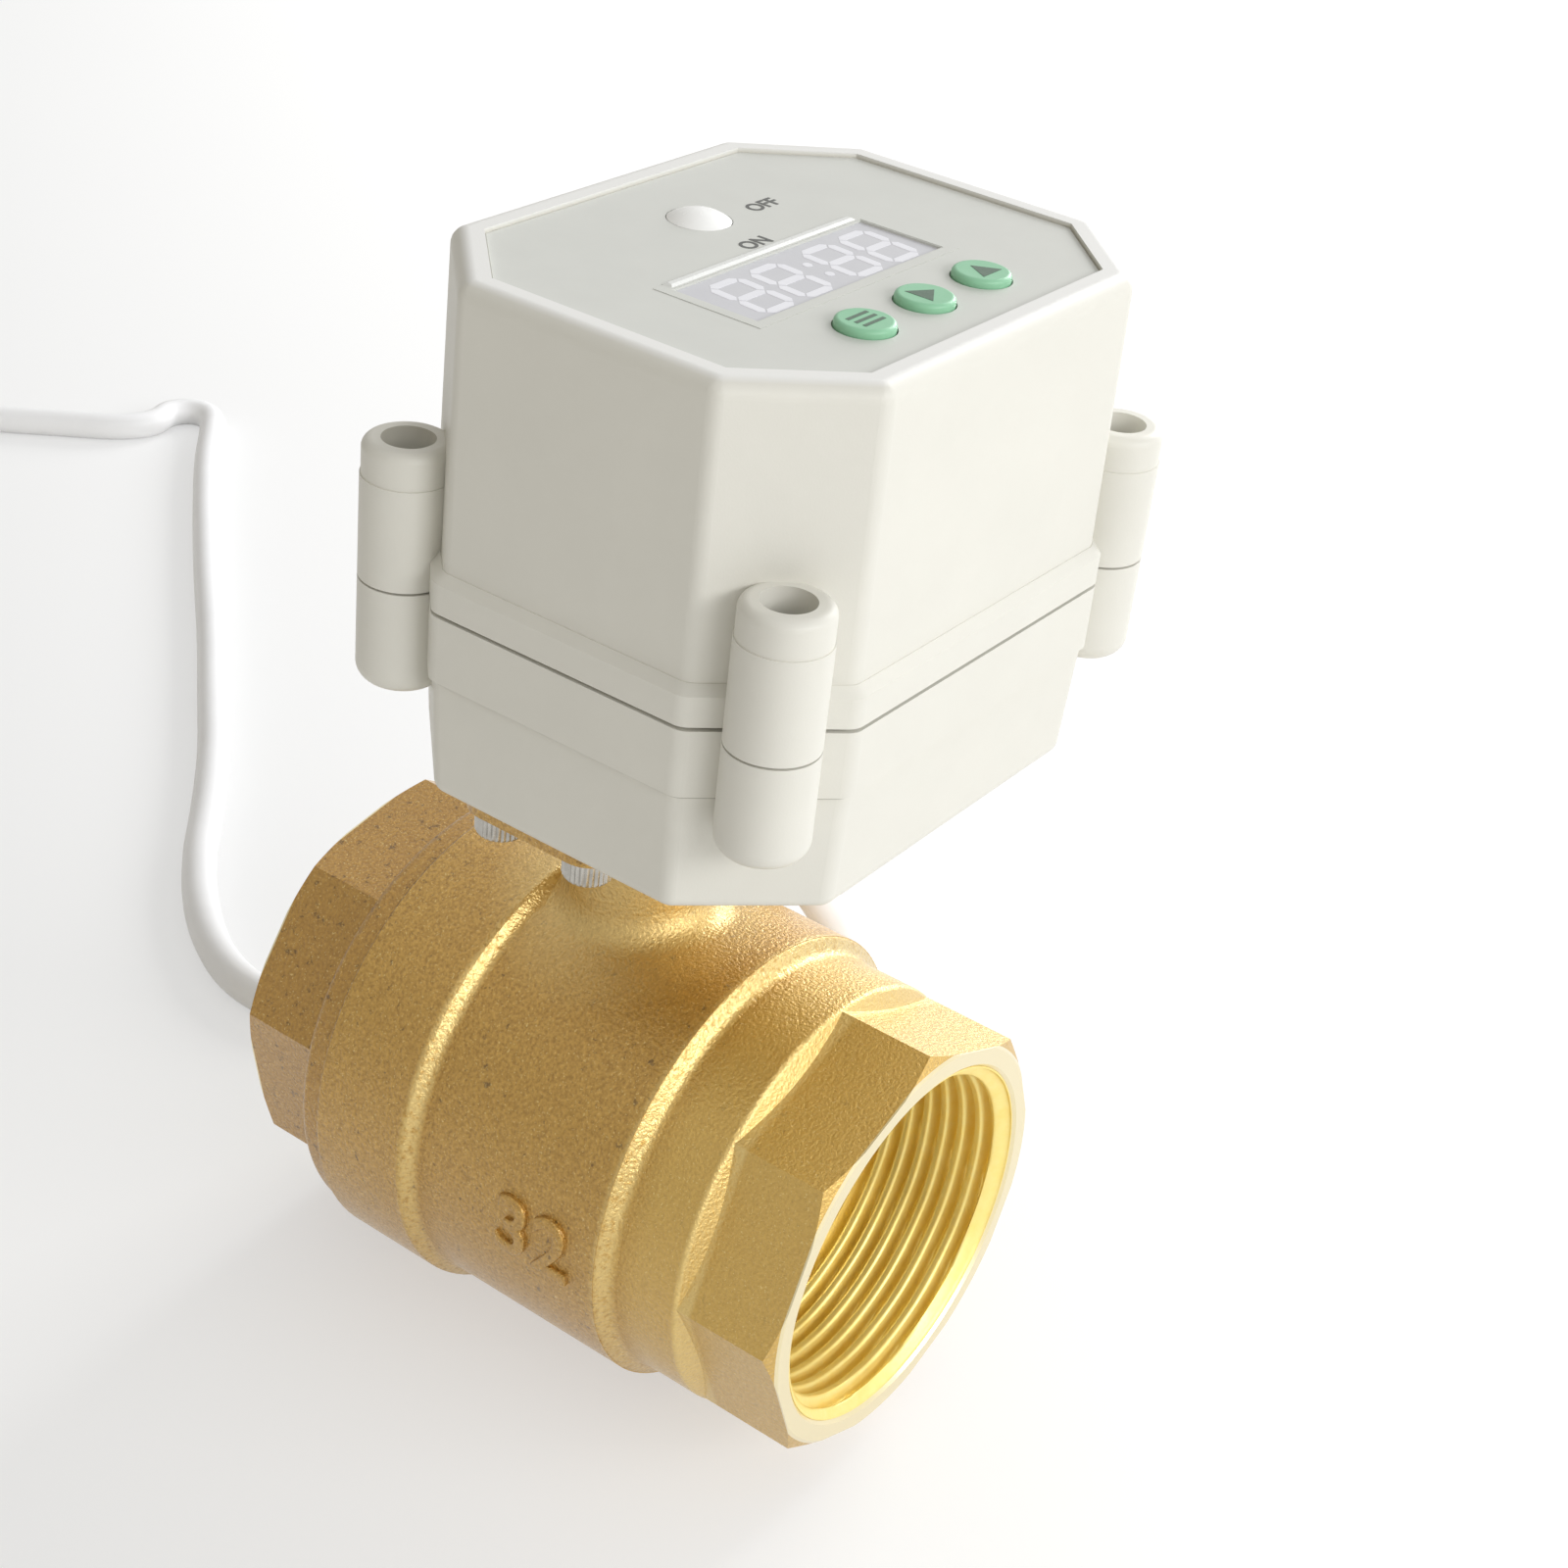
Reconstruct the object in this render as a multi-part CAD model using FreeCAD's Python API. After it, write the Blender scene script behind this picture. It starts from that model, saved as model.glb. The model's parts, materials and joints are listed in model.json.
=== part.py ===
import FreeCAD, Part
import math
import os

# Motorized ball control valve. Millimetres, z up from the surface it stands on.
# The pipe runs along Y, the open port that faces the operator is at -Y,
# and +X is the reading direction of the panel.

# Pipe and ports
pipe_z = 28.3
port_face_y = 38.4
port_r = 20.955
port_chamfer = 0.55
front_port_depth = 18.0
rear_port_depth = 15.0

# Cast outside of the body
front_flats = 46.3
front_flats_turn = 0.0
front_barrel_r = 25.2
middle_barrel_r = 26.9
rear_barrel_r = 28.3
front_octagon_y = -26.2
front_step_y = -16.5
rear_step_y = 10.0
seam_y = 22.5
step_run = 1.2
step_fillet = 1.3
step_round = 0.7
octagon_run_out = 1.3
nut_chamfer = 1.0
nut_chamfer_slope = 30.0
seam_chamfer = 0.35

# Screwed-in end adapter
rear_flats = 44.8
rear_flats_turn = 34.4
collar_r = 27.4
collar_end_y = 25.9
collar_round = 1.0
screw_r = 24.5
screw_inner_y = 13.5
screw_clearance = 0.05

# Ball, seats and stem
stem_y = 1.4
ball_r = 21.0
ball_wall = 6.5
ball_bore_r = ball_r - ball_wall
passage_step = 0.5
passage_r = ball_bore_r + passage_step
chamber_gap = 0.8
chamber_r = ball_r + chamber_gap
seat_width = 4.0
seat_outer_r = passage_r + seat_width
seat_set = 2.55
seat_thick = 5.55
seat_back = ball_r - seat_set
seat_front = seat_back - seat_thick
seat_gap = 0.05
ball_gap = 0.05
slot_width = 5.2
slot_depth = 4.0
tang_length = 12.0
tang_gap = 0.15
stem_r = 4.5
stem_gap = 0.05
stem_collar_r = 6.2
stem_collar_thick = 1.6
collar_above_ball = 1.0
washer_thick = 0.9
thrust_gap = 0.05
ring_section_r = 0.6
ring_groove_r = 3.3
ring_groove_width = 1.6
ring_levels = (3.5, 8.5)
body_ring_section_r = 0.72
body_ring_groove_width = 2.2
body_ring_y = 17.5
stem_square = 6.0
stem_square_length = 3.9

# Neck and actuator flange
neck_r = 8.0
neck_fillet = 3.5
flange_z = pipe_z + 43.3
flange_thick = 3.7
flange_screw_x = 17.3
flange_screw_y = 5.9
flange_ear = 3.6
flange_top_z = flange_z + flange_thick
bush_r = 5.95
bush_length = 3.5

# Actuator case. Its levels stack up from the valve's flange.
case_y = -10.26
plinth_high = 5.2
lower_wall_high = 12.9
lower_band_high = 7.05
upper_band_high = 4.15
upper_case_high = 32.35
case_bottom_z = flange_top_z + plinth_high
lower_band_z = case_bottom_z + lower_wall_high
parting_z = lower_band_z + lower_band_high
upper_band_z = parting_z + upper_band_high
case_top_z = parting_z + upper_case_high
band_half_x = 32.35
band_half_y = 26.06
band_cut = 11.3
lower_inset = 0.4
bottom_inset = 1.0
upper_inset = 0.95
top_inset = 1.35
band_chamfer = 0.9
corner_r = 2.0
top_round = 1.7
bottom_round = 1.4
wall = 2.2
top_thick = 2.9
ceiling_z = case_top_z - top_thick
groove_half = 0.2
post_gap_half = 0.12
gasket_inset = 1.32

# Screw posts on the four chamfered corners
post_inset = 4.1
post_x = band_half_x - post_inset
post_y = band_half_y - post_inset
post_r = 4.5
post_tip_r = 4.38
post_up = 14.15
post_down = 11.15
post_top_z = parting_z + post_up
post_bottom_z = parting_z - post_down
post_tip_length = 3.6
post_bottom_round = 1.9
post_top_round = 1.0
post_hole_r = 2.6
post_through_r = 1.65
case_screw_seat = 4.85
case_screw_reach = 8.15
post_seat_z = parting_z + case_screw_seat
case_screw_end_z = parting_z - case_screw_reach
case_screw_r = 1.25
case_screw_head_r = 2.4
case_screw_head_high = 1.9
case_screw_round = 0.6

# Plinth under the case that sits on the valve's flange
plinth_side = 3.9
plinth_front = 5.1
plinth_half_x = flange_screw_x + plinth_side
plinth_half_y = flange_screw_y + plinth_front
plinth_corner = 4.0
plinth_screw_depth = 5.0
flange_screw_r = 1.5
flange_screw_head_r = 2.75
flange_screw_head_high = 3.1
flange_hole_r = 1.6
socket_flats = 2.5
socket_depth = 1.5
thread_gap = 0.02

# Output shaft, its bush and its coupling
shaft_r = 3.5
shaft_top_r = 3.0
shaft_square = 4.8
coupling_r = 6.0
coupling_gap = 0.4
coupling_mid = 4.0
coupling_top = 7.6
coupling_room = 0.6
square_gap = 0.1
boss_r = 8.6
boss_high = 6.6
boss_top_z = case_bottom_z + boss_high
bush_bore_r = 6.0
seal_thick = 1.1
fit_gap = 0.04

# Gear train, in tooth counts and modules
pinion_teeth = 12
wheel_teeth = 36
output_teeth = 28
output_sector = (-2, 9)
output_module = 0.8
second_module = 0.6
first_module = 0.5
addendum = 0.9
dedendum = 1.15
backlash = 0.12
output_direction = -90.0
second_direction = 10.0
motor_direction = 90.0
sector_back_r = 8.6
sector_hub_r = 6.0
idler_hub_r = 2.2
axle_r = 1.0
end_float = 0.2

# Gear frame and the three levels of gears in it
plate_thick = 1.5
frame_stand = 0.2
frame_room = 13.5
bottom_plate_z = boss_top_z + frame_stand
top_plate_z = bottom_plate_z + plate_thick + frame_room
level_a_low = 2.5
level_a_high = 4.5
level_b_high = 2.8
level_c_high = 2.4
level_gap = 0.6
gear_level_a = (bottom_plate_z + level_a_low, bottom_plate_z + level_a_low + level_a_high)
gear_level_b = (gear_level_a[1] + level_gap, gear_level_a[1] + level_gap + level_b_high)
gear_level_c = (gear_level_b[1] + level_gap, gear_level_b[1] + level_gap + level_c_high)
plate_margin_x = 4.85
plate_margin_y = 6.56
plate_half_x = band_half_x - plate_margin_x
plate_half_y = band_half_y - plate_margin_y
plate_cut = 6.0
plate_y = case_y - 1.24
# Side of the plate and inset from it along X, and the same along Y, for three of the pillars
pillar_insets = ((-1, 5.5, -1, 5.0), (1, 3.0, -1, 7.5), (-1, 3.5, 1, 12.0))
motor_pillar_x = 9.5
corner_pillar_inset = 8.15
pillar_r = 2.0
pillar_bore_r = 1.3
frame_boss_r = 3.0
frame_screw_r = 1.2
frame_screw_head_r = 2.1
frame_screw_head_high = 1.6
frame_screw_round = 0.5
frame_screw_grip = 3.0

# Motor
motor_r = 7.5
motor_headroom = 0.5
motor_flat = 6.2
motor_boss_r = 3.0
motor_boss_high = 1.2
motor_cap_high = 1.8
motor_shaft_r = 1.0
motor_shaft_depth = 5.0
terminal_size = (2.0, 0.5, 2.4)

# Position cams and limit switches
cam_r = 6.0
cam_low_r = 5.0
cam_thick = 3.0
cam_lift = 2.9
cam_pitch = 6.3
cam_levels = (top_plate_z + cam_lift, top_plate_z + cam_lift + cam_pitch)
cam_turns = (0.0, 90.0)
cam_low_angle = 100.0
shaft_top_z = top_plate_z + 14.5
switch_size = (12.8, 6.5, 5.8)
switch_gap = 0.5
switch_nose = 1.4
switch_nose_width = 1.2
switch_reach = 0.3
switch_hole_pitch = 6.5
switch_hole_r = 1.0
switch_pin_length = 2.5
switch_pin_pitch = 2.2
switch_screw_gap = 0.1
switch_screw_head_r = 1.8
switch_screw_head_high = 1.2

# Control board and what stands on it
board_depth = 9.3
board_z = case_top_z - board_depth
board_thick = 1.6
board_part_edge = 0.6
relay_size = (10.5, 9.0, 11.0)
capacitor_r = 3.0
capacitor_high = 9.5
capacitor_x = -2.5
chip_size = (7.0, 1.2)
terminal_block_size = (12.0, 6.5, 8.0)
terminal_way_r = 1.3
board_inset = 5.7
board_front_y = case_y - band_half_y + board_inset
board_post_x = band_half_x - board_inset - 4.0
board_post_y = band_half_y - board_inset - 7.7
board_post_r = 2.5
board_screw_r = 1.0
board_screw_head_r = 1.9
board_screw_head_high = 1.3
board_screw_length = 4.5
pointer_hole_r = 2.6

# Panel
film_inset = 4.5
film_thick = 0.2
film_depth = 0.65
film_z = case_top_z - film_depth
film_gap = 0.15
window_x = -2.0
window_row = 3.04
window_y = case_y - window_row
window_width = 29.2
window_height = 9.4
window_thick = 0.85
window_lip = 1.0
window_lip_thick = 0.4
window_depth = 0.9
window_z = film_z - window_depth
window_gap = 0.1
module_gap = 0.3

# Buttons and their switches
button_places = {"set": -10.2, "next": -0.7, "up": 8.8}
button_row = 14.74
button_y = case_y - button_row
button_r = 2.85
button_gap = 0.15
button_proud = 0.8
button_round = 0.45
button_flange_r = 3.6
button_flange_thick = 0.9
button_under_ceiling = 0.1
button_travel = 0.5
key_size = 6.0
key_high = 2.8
plunger_depth = 1.2
key_well_r = 1.8
plunger_r = 1.7

# Position lens and pointer
lens_r = 3.15
lens_gap = 0.1
lens_rise = 1.0
lens_flange_r = 4.4
lens_flange_thick = 0.7
lens_wall = 0.5
pointer_disc_r = 2.3
pointer_disc_thick = 0.8
pointer_rod_r = 1.7
pointer_socket = 4.0
pointer_spigot_r = 1.2

# Cable, its strain relief and its bare leads
cable_r = 2.5
relief_x = 25.6
relief_y = -0.5
relief_root_r = 4.3
relief_tip_r = 3.4
relief_groove_r = 3.3
relief_flange_r = 4.1
relief_length = 20.0
relief_collar = 2.5
relief_inner = 1.5
relief_ring_count = 5
relief_ring_depth = 0.8
relief_ring_width = 1.1
lead_r = 0.8
lead_spread = 1.25
lead_count = 3
lead_length = 22.0
floor_gap = 0.05

box = Part.makeBox
V = FreeCAD.Vector


def cylinder(r, low, high, x=0.0, y=0.0):
    return Part.makeCylinder(r, high - low, V(x, y, low))


def tube(outer_r, inner_r, low, high, x=0.0, y=0.0):
    return cylinder(outer_r, low, high, x, y).cut(cylinder(inner_r, low, high, x, y))


def pipe_cylinder(r, start_y, end_y):
    return Part.makeCylinder(r, end_y - start_y, V(0, start_y, pipe_z), V(0, 1, 0))


def block(x0, x1, y0, y1, z0, z1):
    return box(x1 - x0, y1 - y0, z1 - z0, V(x0, y0, z0))


def polygon_face(points):
    return Part.Face(Part.makePolygon(points + [points[0]]))


def rounded_wire(corners, radii):
    """A closed outline with straight runs, whose corners are rounded by the radii given."""
    count = len(corners)
    starts, middles, ends = [], [], []
    for i, corner in enumerate(corners):
        incoming = (corner - corners[i - 1]).normalize()
        outgoing = (corners[(i + 1) % count] - corner).normalize()
        half_turn = math.acos(max(-1.0, min(1.0, incoming.dot(outgoing)))) / 2
        reach = radii[i] * math.tan(half_turn)
        inward = (outgoing - incoming).normalize()
        starts.append(corner - incoming * reach)
        middles.append(corner + inward * (radii[i] / math.cos(half_turn) - radii[i]))
        ends.append(corner + outgoing * reach)
    edges = []
    for i in range(count):
        if radii[i] > 0:
            edges.append(Part.Arc(starts[i], middles[i], ends[i]).toShape())
        edges.append(Part.LineSegment(ends[i], starts[(i + 1) % count]).toShape())
    return Part.Wire(edges)


def revolve_about_pipe(profile):
    """A solid of revolution about the pipe, from (y, radius) or (y, radius, rounding) points."""
    corners = [V(0, p[0], pipe_z + p[1]) for p in profile]
    radii = [p[2] if len(p) > 2 else 0 for p in profile]
    return Part.Face(rounded_wire(corners, radii)).revolve(V(0, 0, pipe_z), V(0, 1, 0), 360)


def octagon_wire(half_x, half_y, cut, z, y=0.0, r=0.0):
    """A rectangle with four chamfered corners, each of its eight corners rounded by r."""
    half = [(half_x, -half_y + cut), (half_x, half_y - cut), (half_x - cut, half_y), (-half_x + cut, half_y)]
    outline = half + [(-px, -py) for px, py in half]
    return rounded_wire([V(px, py + y, z) for px, py in outline], [r] * 8)


def octagon_loft(sections, y, r=0.0):
    """A solid through sections of (half_x, half_y, cut, z)."""
    wires = [octagon_wire(hx, hy, cut, z, y, r) for hx, hy, cut, z in sections]
    return Part.makeLoft(wires, True, True)


def case_prism(inset, low, high):
    """A straight block with the case's outline, inset evenly from its widest band."""
    return octagon_loft([case_section(inset, low), case_section(inset, high)], case_y)


def case_section(inset, z):
    """A section of the case, inset evenly from its widest band."""
    return (band_half_x - inset, band_half_y - inset, band_cut - inset * (2 - math.sqrt(2)), z)


def rounded_block(half_x, half_y, corner, low, high, y=0.0):
    shape = block(-half_x, half_x, y - half_y, y + half_y, low, high)
    upright = [e for e in shape.Edges if abs(e.Vertexes[0].Z - e.Vertexes[1].Z) > 1e-6]
    return shape.makeFillet(corner, upright)


def flats_prism(across_flats, turn, start_y, end_y):
    """An octagonal prism along the pipe, with a corner at the top when turn is 0."""
    corner_r = across_flats / 2 / math.cos(math.radians(22.5))
    points = []
    for k in range(8):
        angle = math.radians(90 + turn + 45 * k)
        points.append(V(corner_r * math.cos(angle), start_y, pipe_z + corner_r * math.sin(angle)))
    return polygon_face(points).extrude(V(0, end_y - start_y, 0))


def nut_chamfer_tool(across_flats, face_y, inner_y):
    """What stays of an octagon whose outer corners are turned off at its end face."""
    corner_r = across_flats / 2 / math.cos(math.radians(22.5)) + 0.1
    drop = nut_chamfer / math.tan(math.radians(nut_chamfer_slope))
    toward = 1 if inner_y > face_y else -1
    profile = [(face_y, 0), (face_y, corner_r - drop), (face_y + toward * nut_chamfer, corner_r),
               (inner_y, corner_r), (inner_y, 0)]
    return revolve_about_pipe(profile)


def square_bar(flats, low, high, x=0.0, y=0.0):
    return block(x - flats / 2, x + flats / 2, y - flats / 2, y + flats / 2, low, high)


def hexagon_bar(flats, low, high, x, y):
    r = flats / 2 / math.cos(math.radians(30))
    points = []
    for k in range(6):
        angle = math.radians(60 * k)
        points.append(V(x + r * math.cos(angle), y + r * math.sin(angle), low))
    return polygon_face(points).extrude(V(0, 0, high - low))


def corner_places(x, y, centre_y):
    return [(sx * x, centre_y + sy * y) for sx in (-1, 1) for sy in (-1, 1)]


def round_edges(shape, r, chosen):
    return shape.makeFillet(r, [e for e in shape.Edges if chosen(e)])


def level_circle(z, r=None):
    """Tells whether an edge is a whole circle at height z."""
    def check(edge):
        level = abs(edge.BoundBox.ZMin - z) < 1e-4 and abs(edge.BoundBox.ZMax - z) < 1e-4
        curve = edge.Curve
        if not level or not isinstance(curve, Part.Circle):
            return False
        return r is None or abs(curve.Radius - r) < 1e-4
    return check


# Valve body

def make_saddle():
    """The neck with the stretch of barrel that it grows from, and the fillet between them."""
    barrel = pipe_cylinder(middle_barrel_r, front_step_y, seam_y)
    saddle = barrel.fuse(cylinder(neck_r, pipe_z + passage_r, flange_z, 0, stem_y))
    return round_edges(saddle, neck_fillet, lambda e: not isinstance(e.Curve, (Part.Circle, Part.Line)))


def make_valve_body():
    cone = octagon_run_out
    outside = revolve_about_pipe([
        (front_octagon_y - cone, 0), (front_octagon_y - cone, front_flats / 2 - 0.2),
        (front_octagon_y, front_barrel_r, step_round),
        (front_step_y - step_run, front_barrel_r, step_fillet), (front_step_y, middle_barrel_r, step_round),
        (rear_step_y - step_run, middle_barrel_r, step_fillet), (rear_step_y, rear_barrel_r, step_round),
        (seam_y, rear_barrel_r, seam_chamfer), (seam_y, 0)])
    octagon = flats_prism(front_flats, front_flats_turn, -port_face_y, front_step_y)
    octagon = octagon.common(nut_chamfer_tool(front_flats, -port_face_y, front_step_y))
    flange = rounded_block(flange_screw_x + flange_ear, flange_screw_y + flange_ear, flange_ear,
                           flange_z, flange_top_z, stem_y)
    body = outside.fuse([octagon, make_saddle(), flange])
    front_seat_y = stem_y - seat_back - seat_gap
    rear_room_y = screw_inner_y - thrust_gap
    port_end_y = front_port_depth - port_face_y
    hollow = revolve_about_pipe([
        (-port_face_y - 1, 0), (-port_face_y - 1, port_r + port_chamfer + 1),
        (-port_face_y + port_chamfer, port_r), (port_end_y, port_r), (port_end_y, passage_r),
        (front_seat_y, passage_r), (front_seat_y, seat_outer_r + seat_gap),
        (stem_y - seat_front, seat_outer_r + seat_gap), (stem_y - seat_front, chamber_r),
        (rear_room_y, chamber_r), (rear_room_y, screw_r), (seam_y + 1, screw_r), (seam_y + 1, 0)])
    collar_top = pipe_z + ball_r + collar_above_ball + stem_collar_thick
    pocket_top = collar_top + washer_thick + 2 * thrust_gap
    tools = [hollow, cylinder(stem_collar_r + 0.2, pipe_z, pocket_top, 0, stem_y),
             cylinder(stem_r + stem_gap, pipe_z, flange_top_z, 0, stem_y),
             cylinder(bush_r + stem_gap, flange_top_z - bush_length, flange_top_z,
                      0, stem_y)]
    for x, y in corner_places(flange_screw_x, flange_screw_y, stem_y):
        tools.append(cylinder(flange_hole_r, flange_z, flange_top_z, x, y))
    return body.cut(tools)


def make_end_adapter():
    collar = pipe_cylinder(collar_r, seam_y, collar_end_y)
    collar = collar.makeFillet(collar_round, [e for e in collar.Edges
                                              if abs(e.BoundBox.YMin - collar_end_y) < 1e-4])
    octagon = flats_prism(rear_flats, rear_flats_turn, seam_y + collar_round, port_face_y)
    octagon = octagon.common(nut_chamfer_tool(rear_flats, port_face_y, seam_y))
    male = pipe_cylinder(screw_r - screw_clearance, screw_inner_y, seam_y + 0.5)
    body = collar.fuse([octagon, male])
    seat_y = stem_y + seat_back + seat_gap
    port_start_y = port_face_y - rear_port_depth
    hollow = revolve_about_pipe([
        (screw_inner_y - 1, 0), (screw_inner_y - 1, seat_outer_r + seat_gap),
        (seat_y, seat_outer_r + seat_gap), (seat_y, passage_r),
        (port_start_y, passage_r), (port_start_y, port_r),
        (port_face_y - port_chamfer, port_r), (port_face_y + 1, port_r + port_chamfer + 1),
        (port_face_y + 1, 0)])
    groove_floor = screw_r - screw_clearance - 2 * body_ring_section_r - 0.02
    groove = pipe_cylinder(screw_r + 1, body_ring_y - body_ring_groove_width / 2,
                           body_ring_y + body_ring_groove_width / 2)
    groove = groove.cut(pipe_cylinder(groove_floor, body_ring_y - body_ring_groove_width,
                                      body_ring_y + body_ring_groove_width))
    return body.cut([hollow, groove])


def make_body_seal():
    ring_r = screw_r - screw_clearance - body_ring_section_r - 0.01
    return Part.makeTorus(ring_r, body_ring_section_r, V(0, body_ring_y, pipe_z), V(0, 1, 0))


def make_seat(side):
    back_y = stem_y + side * seat_back
    front_y = stem_y + side * seat_front
    low, high = min(back_y, front_y), max(back_y, front_y)
    ring = pipe_cylinder(seat_outer_r, low, high).cut(pipe_cylinder(passage_r, low, high))
    return ring.cut(Part.makeSphere(ball_r + ball_gap, V(0, stem_y, pipe_z)))


def make_ball():
    centre = V(0, stem_y, pipe_z)
    half_slot = slot_width / 2
    slot = block(-ball_r, ball_r, stem_y - half_slot, stem_y + half_slot,
                 pipe_z + ball_r - slot_depth, pipe_z + ball_r + 1)
    bore = pipe_cylinder(ball_bore_r, stem_y - ball_r - 1, stem_y + ball_r + 1)
    return Part.makeSphere(ball_r, centre).cut([slot, bore])


def make_stem():
    collar_low = pipe_z + ball_r + collar_above_ball
    collar_high = collar_low + stem_collar_thick
    top = flange_top_z - 0.1
    tang_half = slot_width / 2 - tang_gap / 2
    tang = block(-tang_length / 2, tang_length / 2, stem_y - tang_half, stem_y + tang_half,
                 pipe_z + ball_r - slot_depth + tang_gap, collar_low)
    tang = tang.common(cylinder(stem_collar_r, pipe_z, top, 0, stem_y))
    shape = tang.fuse([cylinder(stem_collar_r, collar_low, collar_high, 0, stem_y),
                       cylinder(stem_r, collar_high, top, 0, stem_y),
                       square_bar(stem_square, top, top + stem_square_length, 0, stem_y)])
    grooves = []
    for level in ring_levels:
        low = collar_high + level
        grooves.append(tube(stem_r + 1, ring_groove_r, low, low + ring_groove_width, 0, stem_y))
    return shape.cut(grooves)


def make_stem_rings():
    collar_high = pipe_z + ball_r + collar_above_ball + stem_collar_thick
    rings = []
    for level in ring_levels:
        centre = V(0, stem_y, collar_high + level + ring_groove_width / 2)
        rings.append(Part.makeTorus(stem_r - ring_section_r, ring_section_r, centre, V(0, 0, 1)))
    return Part.Compound(rings)


def make_thrust_washer():
    low = pipe_z + ball_r + collar_above_ball + stem_collar_thick + thrust_gap
    return tube(stem_collar_r, stem_r + stem_gap, low, low + washer_thick, 0, stem_y)


def make_stem_bush():
    top = flange_top_z
    return tube(bush_r, stem_r + stem_gap, top - bush_length, top, 0, stem_y)


def make_drive_coupling():
    low = flange_top_z + coupling_gap
    middle = flange_top_z + coupling_mid
    high = flange_top_z + coupling_top
    shape = cylinder(coupling_r, low, high, 0, stem_y)
    return shape.cut([square_bar(stem_square + square_gap, low, middle, 0, stem_y),
                      square_bar(shaft_square + square_gap, middle, high, 0, stem_y)])


def make_flange_screws():
    screws = []
    for x, y in corner_places(flange_screw_x, flange_screw_y, stem_y):
        head_low = flange_z - flange_screw_head_high
        head = cylinder(flange_screw_head_r, head_low, flange_z, x, y)
        head = head.cut(hexagon_bar(socket_flats, head_low, head_low + socket_depth, x, y))
        shank_top = flange_top_z + plinth_screw_depth - 0.5
        screws.append(head.fuse(cylinder(flange_screw_r, flange_z, shank_top, x, y)))
    return Part.Compound(screws)


# Actuator case

def make_lower_case():
    shell = octagon_loft([case_section(bottom_inset, case_bottom_z),
                          case_section(lower_inset, lower_band_z)], case_y, corner_r)
    shell = round_edges(shell, bottom_round,
                        lambda e: e.BoundBox.ZMax < case_bottom_z + 1e-4)
    rim_z = parting_z - groove_half
    band = octagon_loft([case_section(0, lower_band_z), case_section(0, rim_z)], case_y, corner_r)
    plinth = rounded_block(plinth_half_x, plinth_half_y, plinth_corner, flange_top_z,
                           case_bottom_z + wall, stem_y)
    inner = octagon_loft([case_section(bottom_inset + wall, case_bottom_z + wall),
                          case_section(lower_inset + wall, rim_z + 1)], case_y)
    posts = [make_post(x, y, post_bottom_z, parting_z - post_gap_half, False)
             for x, y in corner_places(post_x, post_y, case_y)]
    shape = shell.fuse([band, plinth] + posts)
    shape = shape.cut(inner)
    bosses = [cylinder(boss_r, case_bottom_z, boss_top_z, 0, stem_y)]
    for x, y in pillar_places:
        bosses.append(cylinder(frame_boss_r, case_bottom_z + wall / 2, bottom_plate_z, x, y))
    shape = shape.fuse(bosses)
    room_top = flange_top_z + coupling_top + coupling_gap
    tools = [cylinder(coupling_r + coupling_room, flange_z, room_top, 0, stem_y),
             cylinder(bush_bore_r + thread_gap, flange_z, boss_top_z + 1, 0, stem_y),
             cylinder(relief_groove_r, flange_z, case_bottom_z + 2 * wall, relief_x, relief_y),
             cylinder(relief_flange_r + 0.1, case_bottom_z + wall, case_bottom_z + wall + relief_inner + 0.1,
                      relief_x, relief_y)]
    for x, y in corner_places(flange_screw_x, flange_screw_y, stem_y):
        tools.append(cylinder(flange_screw_r + thread_gap, flange_z,
                              flange_top_z + plinth_screw_depth, x, y))
    for x, y in corner_places(post_x, post_y, case_y):
        tools.append(cylinder(case_screw_r + thread_gap, case_screw_end_z - 0.5, parting_z + 1, x, y))
    for x, y in pillar_places:
        tools.append(cylinder(frame_screw_r + thread_gap, bottom_plate_z - frame_screw_grip - 0.5,
                              bottom_plate_z + 1, x, y))
    return shape.cut(tools)


def make_post(x, y, low, high, tip):
    """One half of a screw post. The upper half has a tip, the lower half a round foot."""
    if tip:
        shoulder = high - post_tip_length
        top = cylinder(post_tip_r, low, high, x, y)
        top = round_edges(top, post_top_round, level_circle(high))
        return cylinder(post_r, low, shoulder, x, y).fuse(top)
    shape = cylinder(post_r, low, high, x, y)
    return round_edges(shape, post_bottom_round, level_circle(low))


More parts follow.
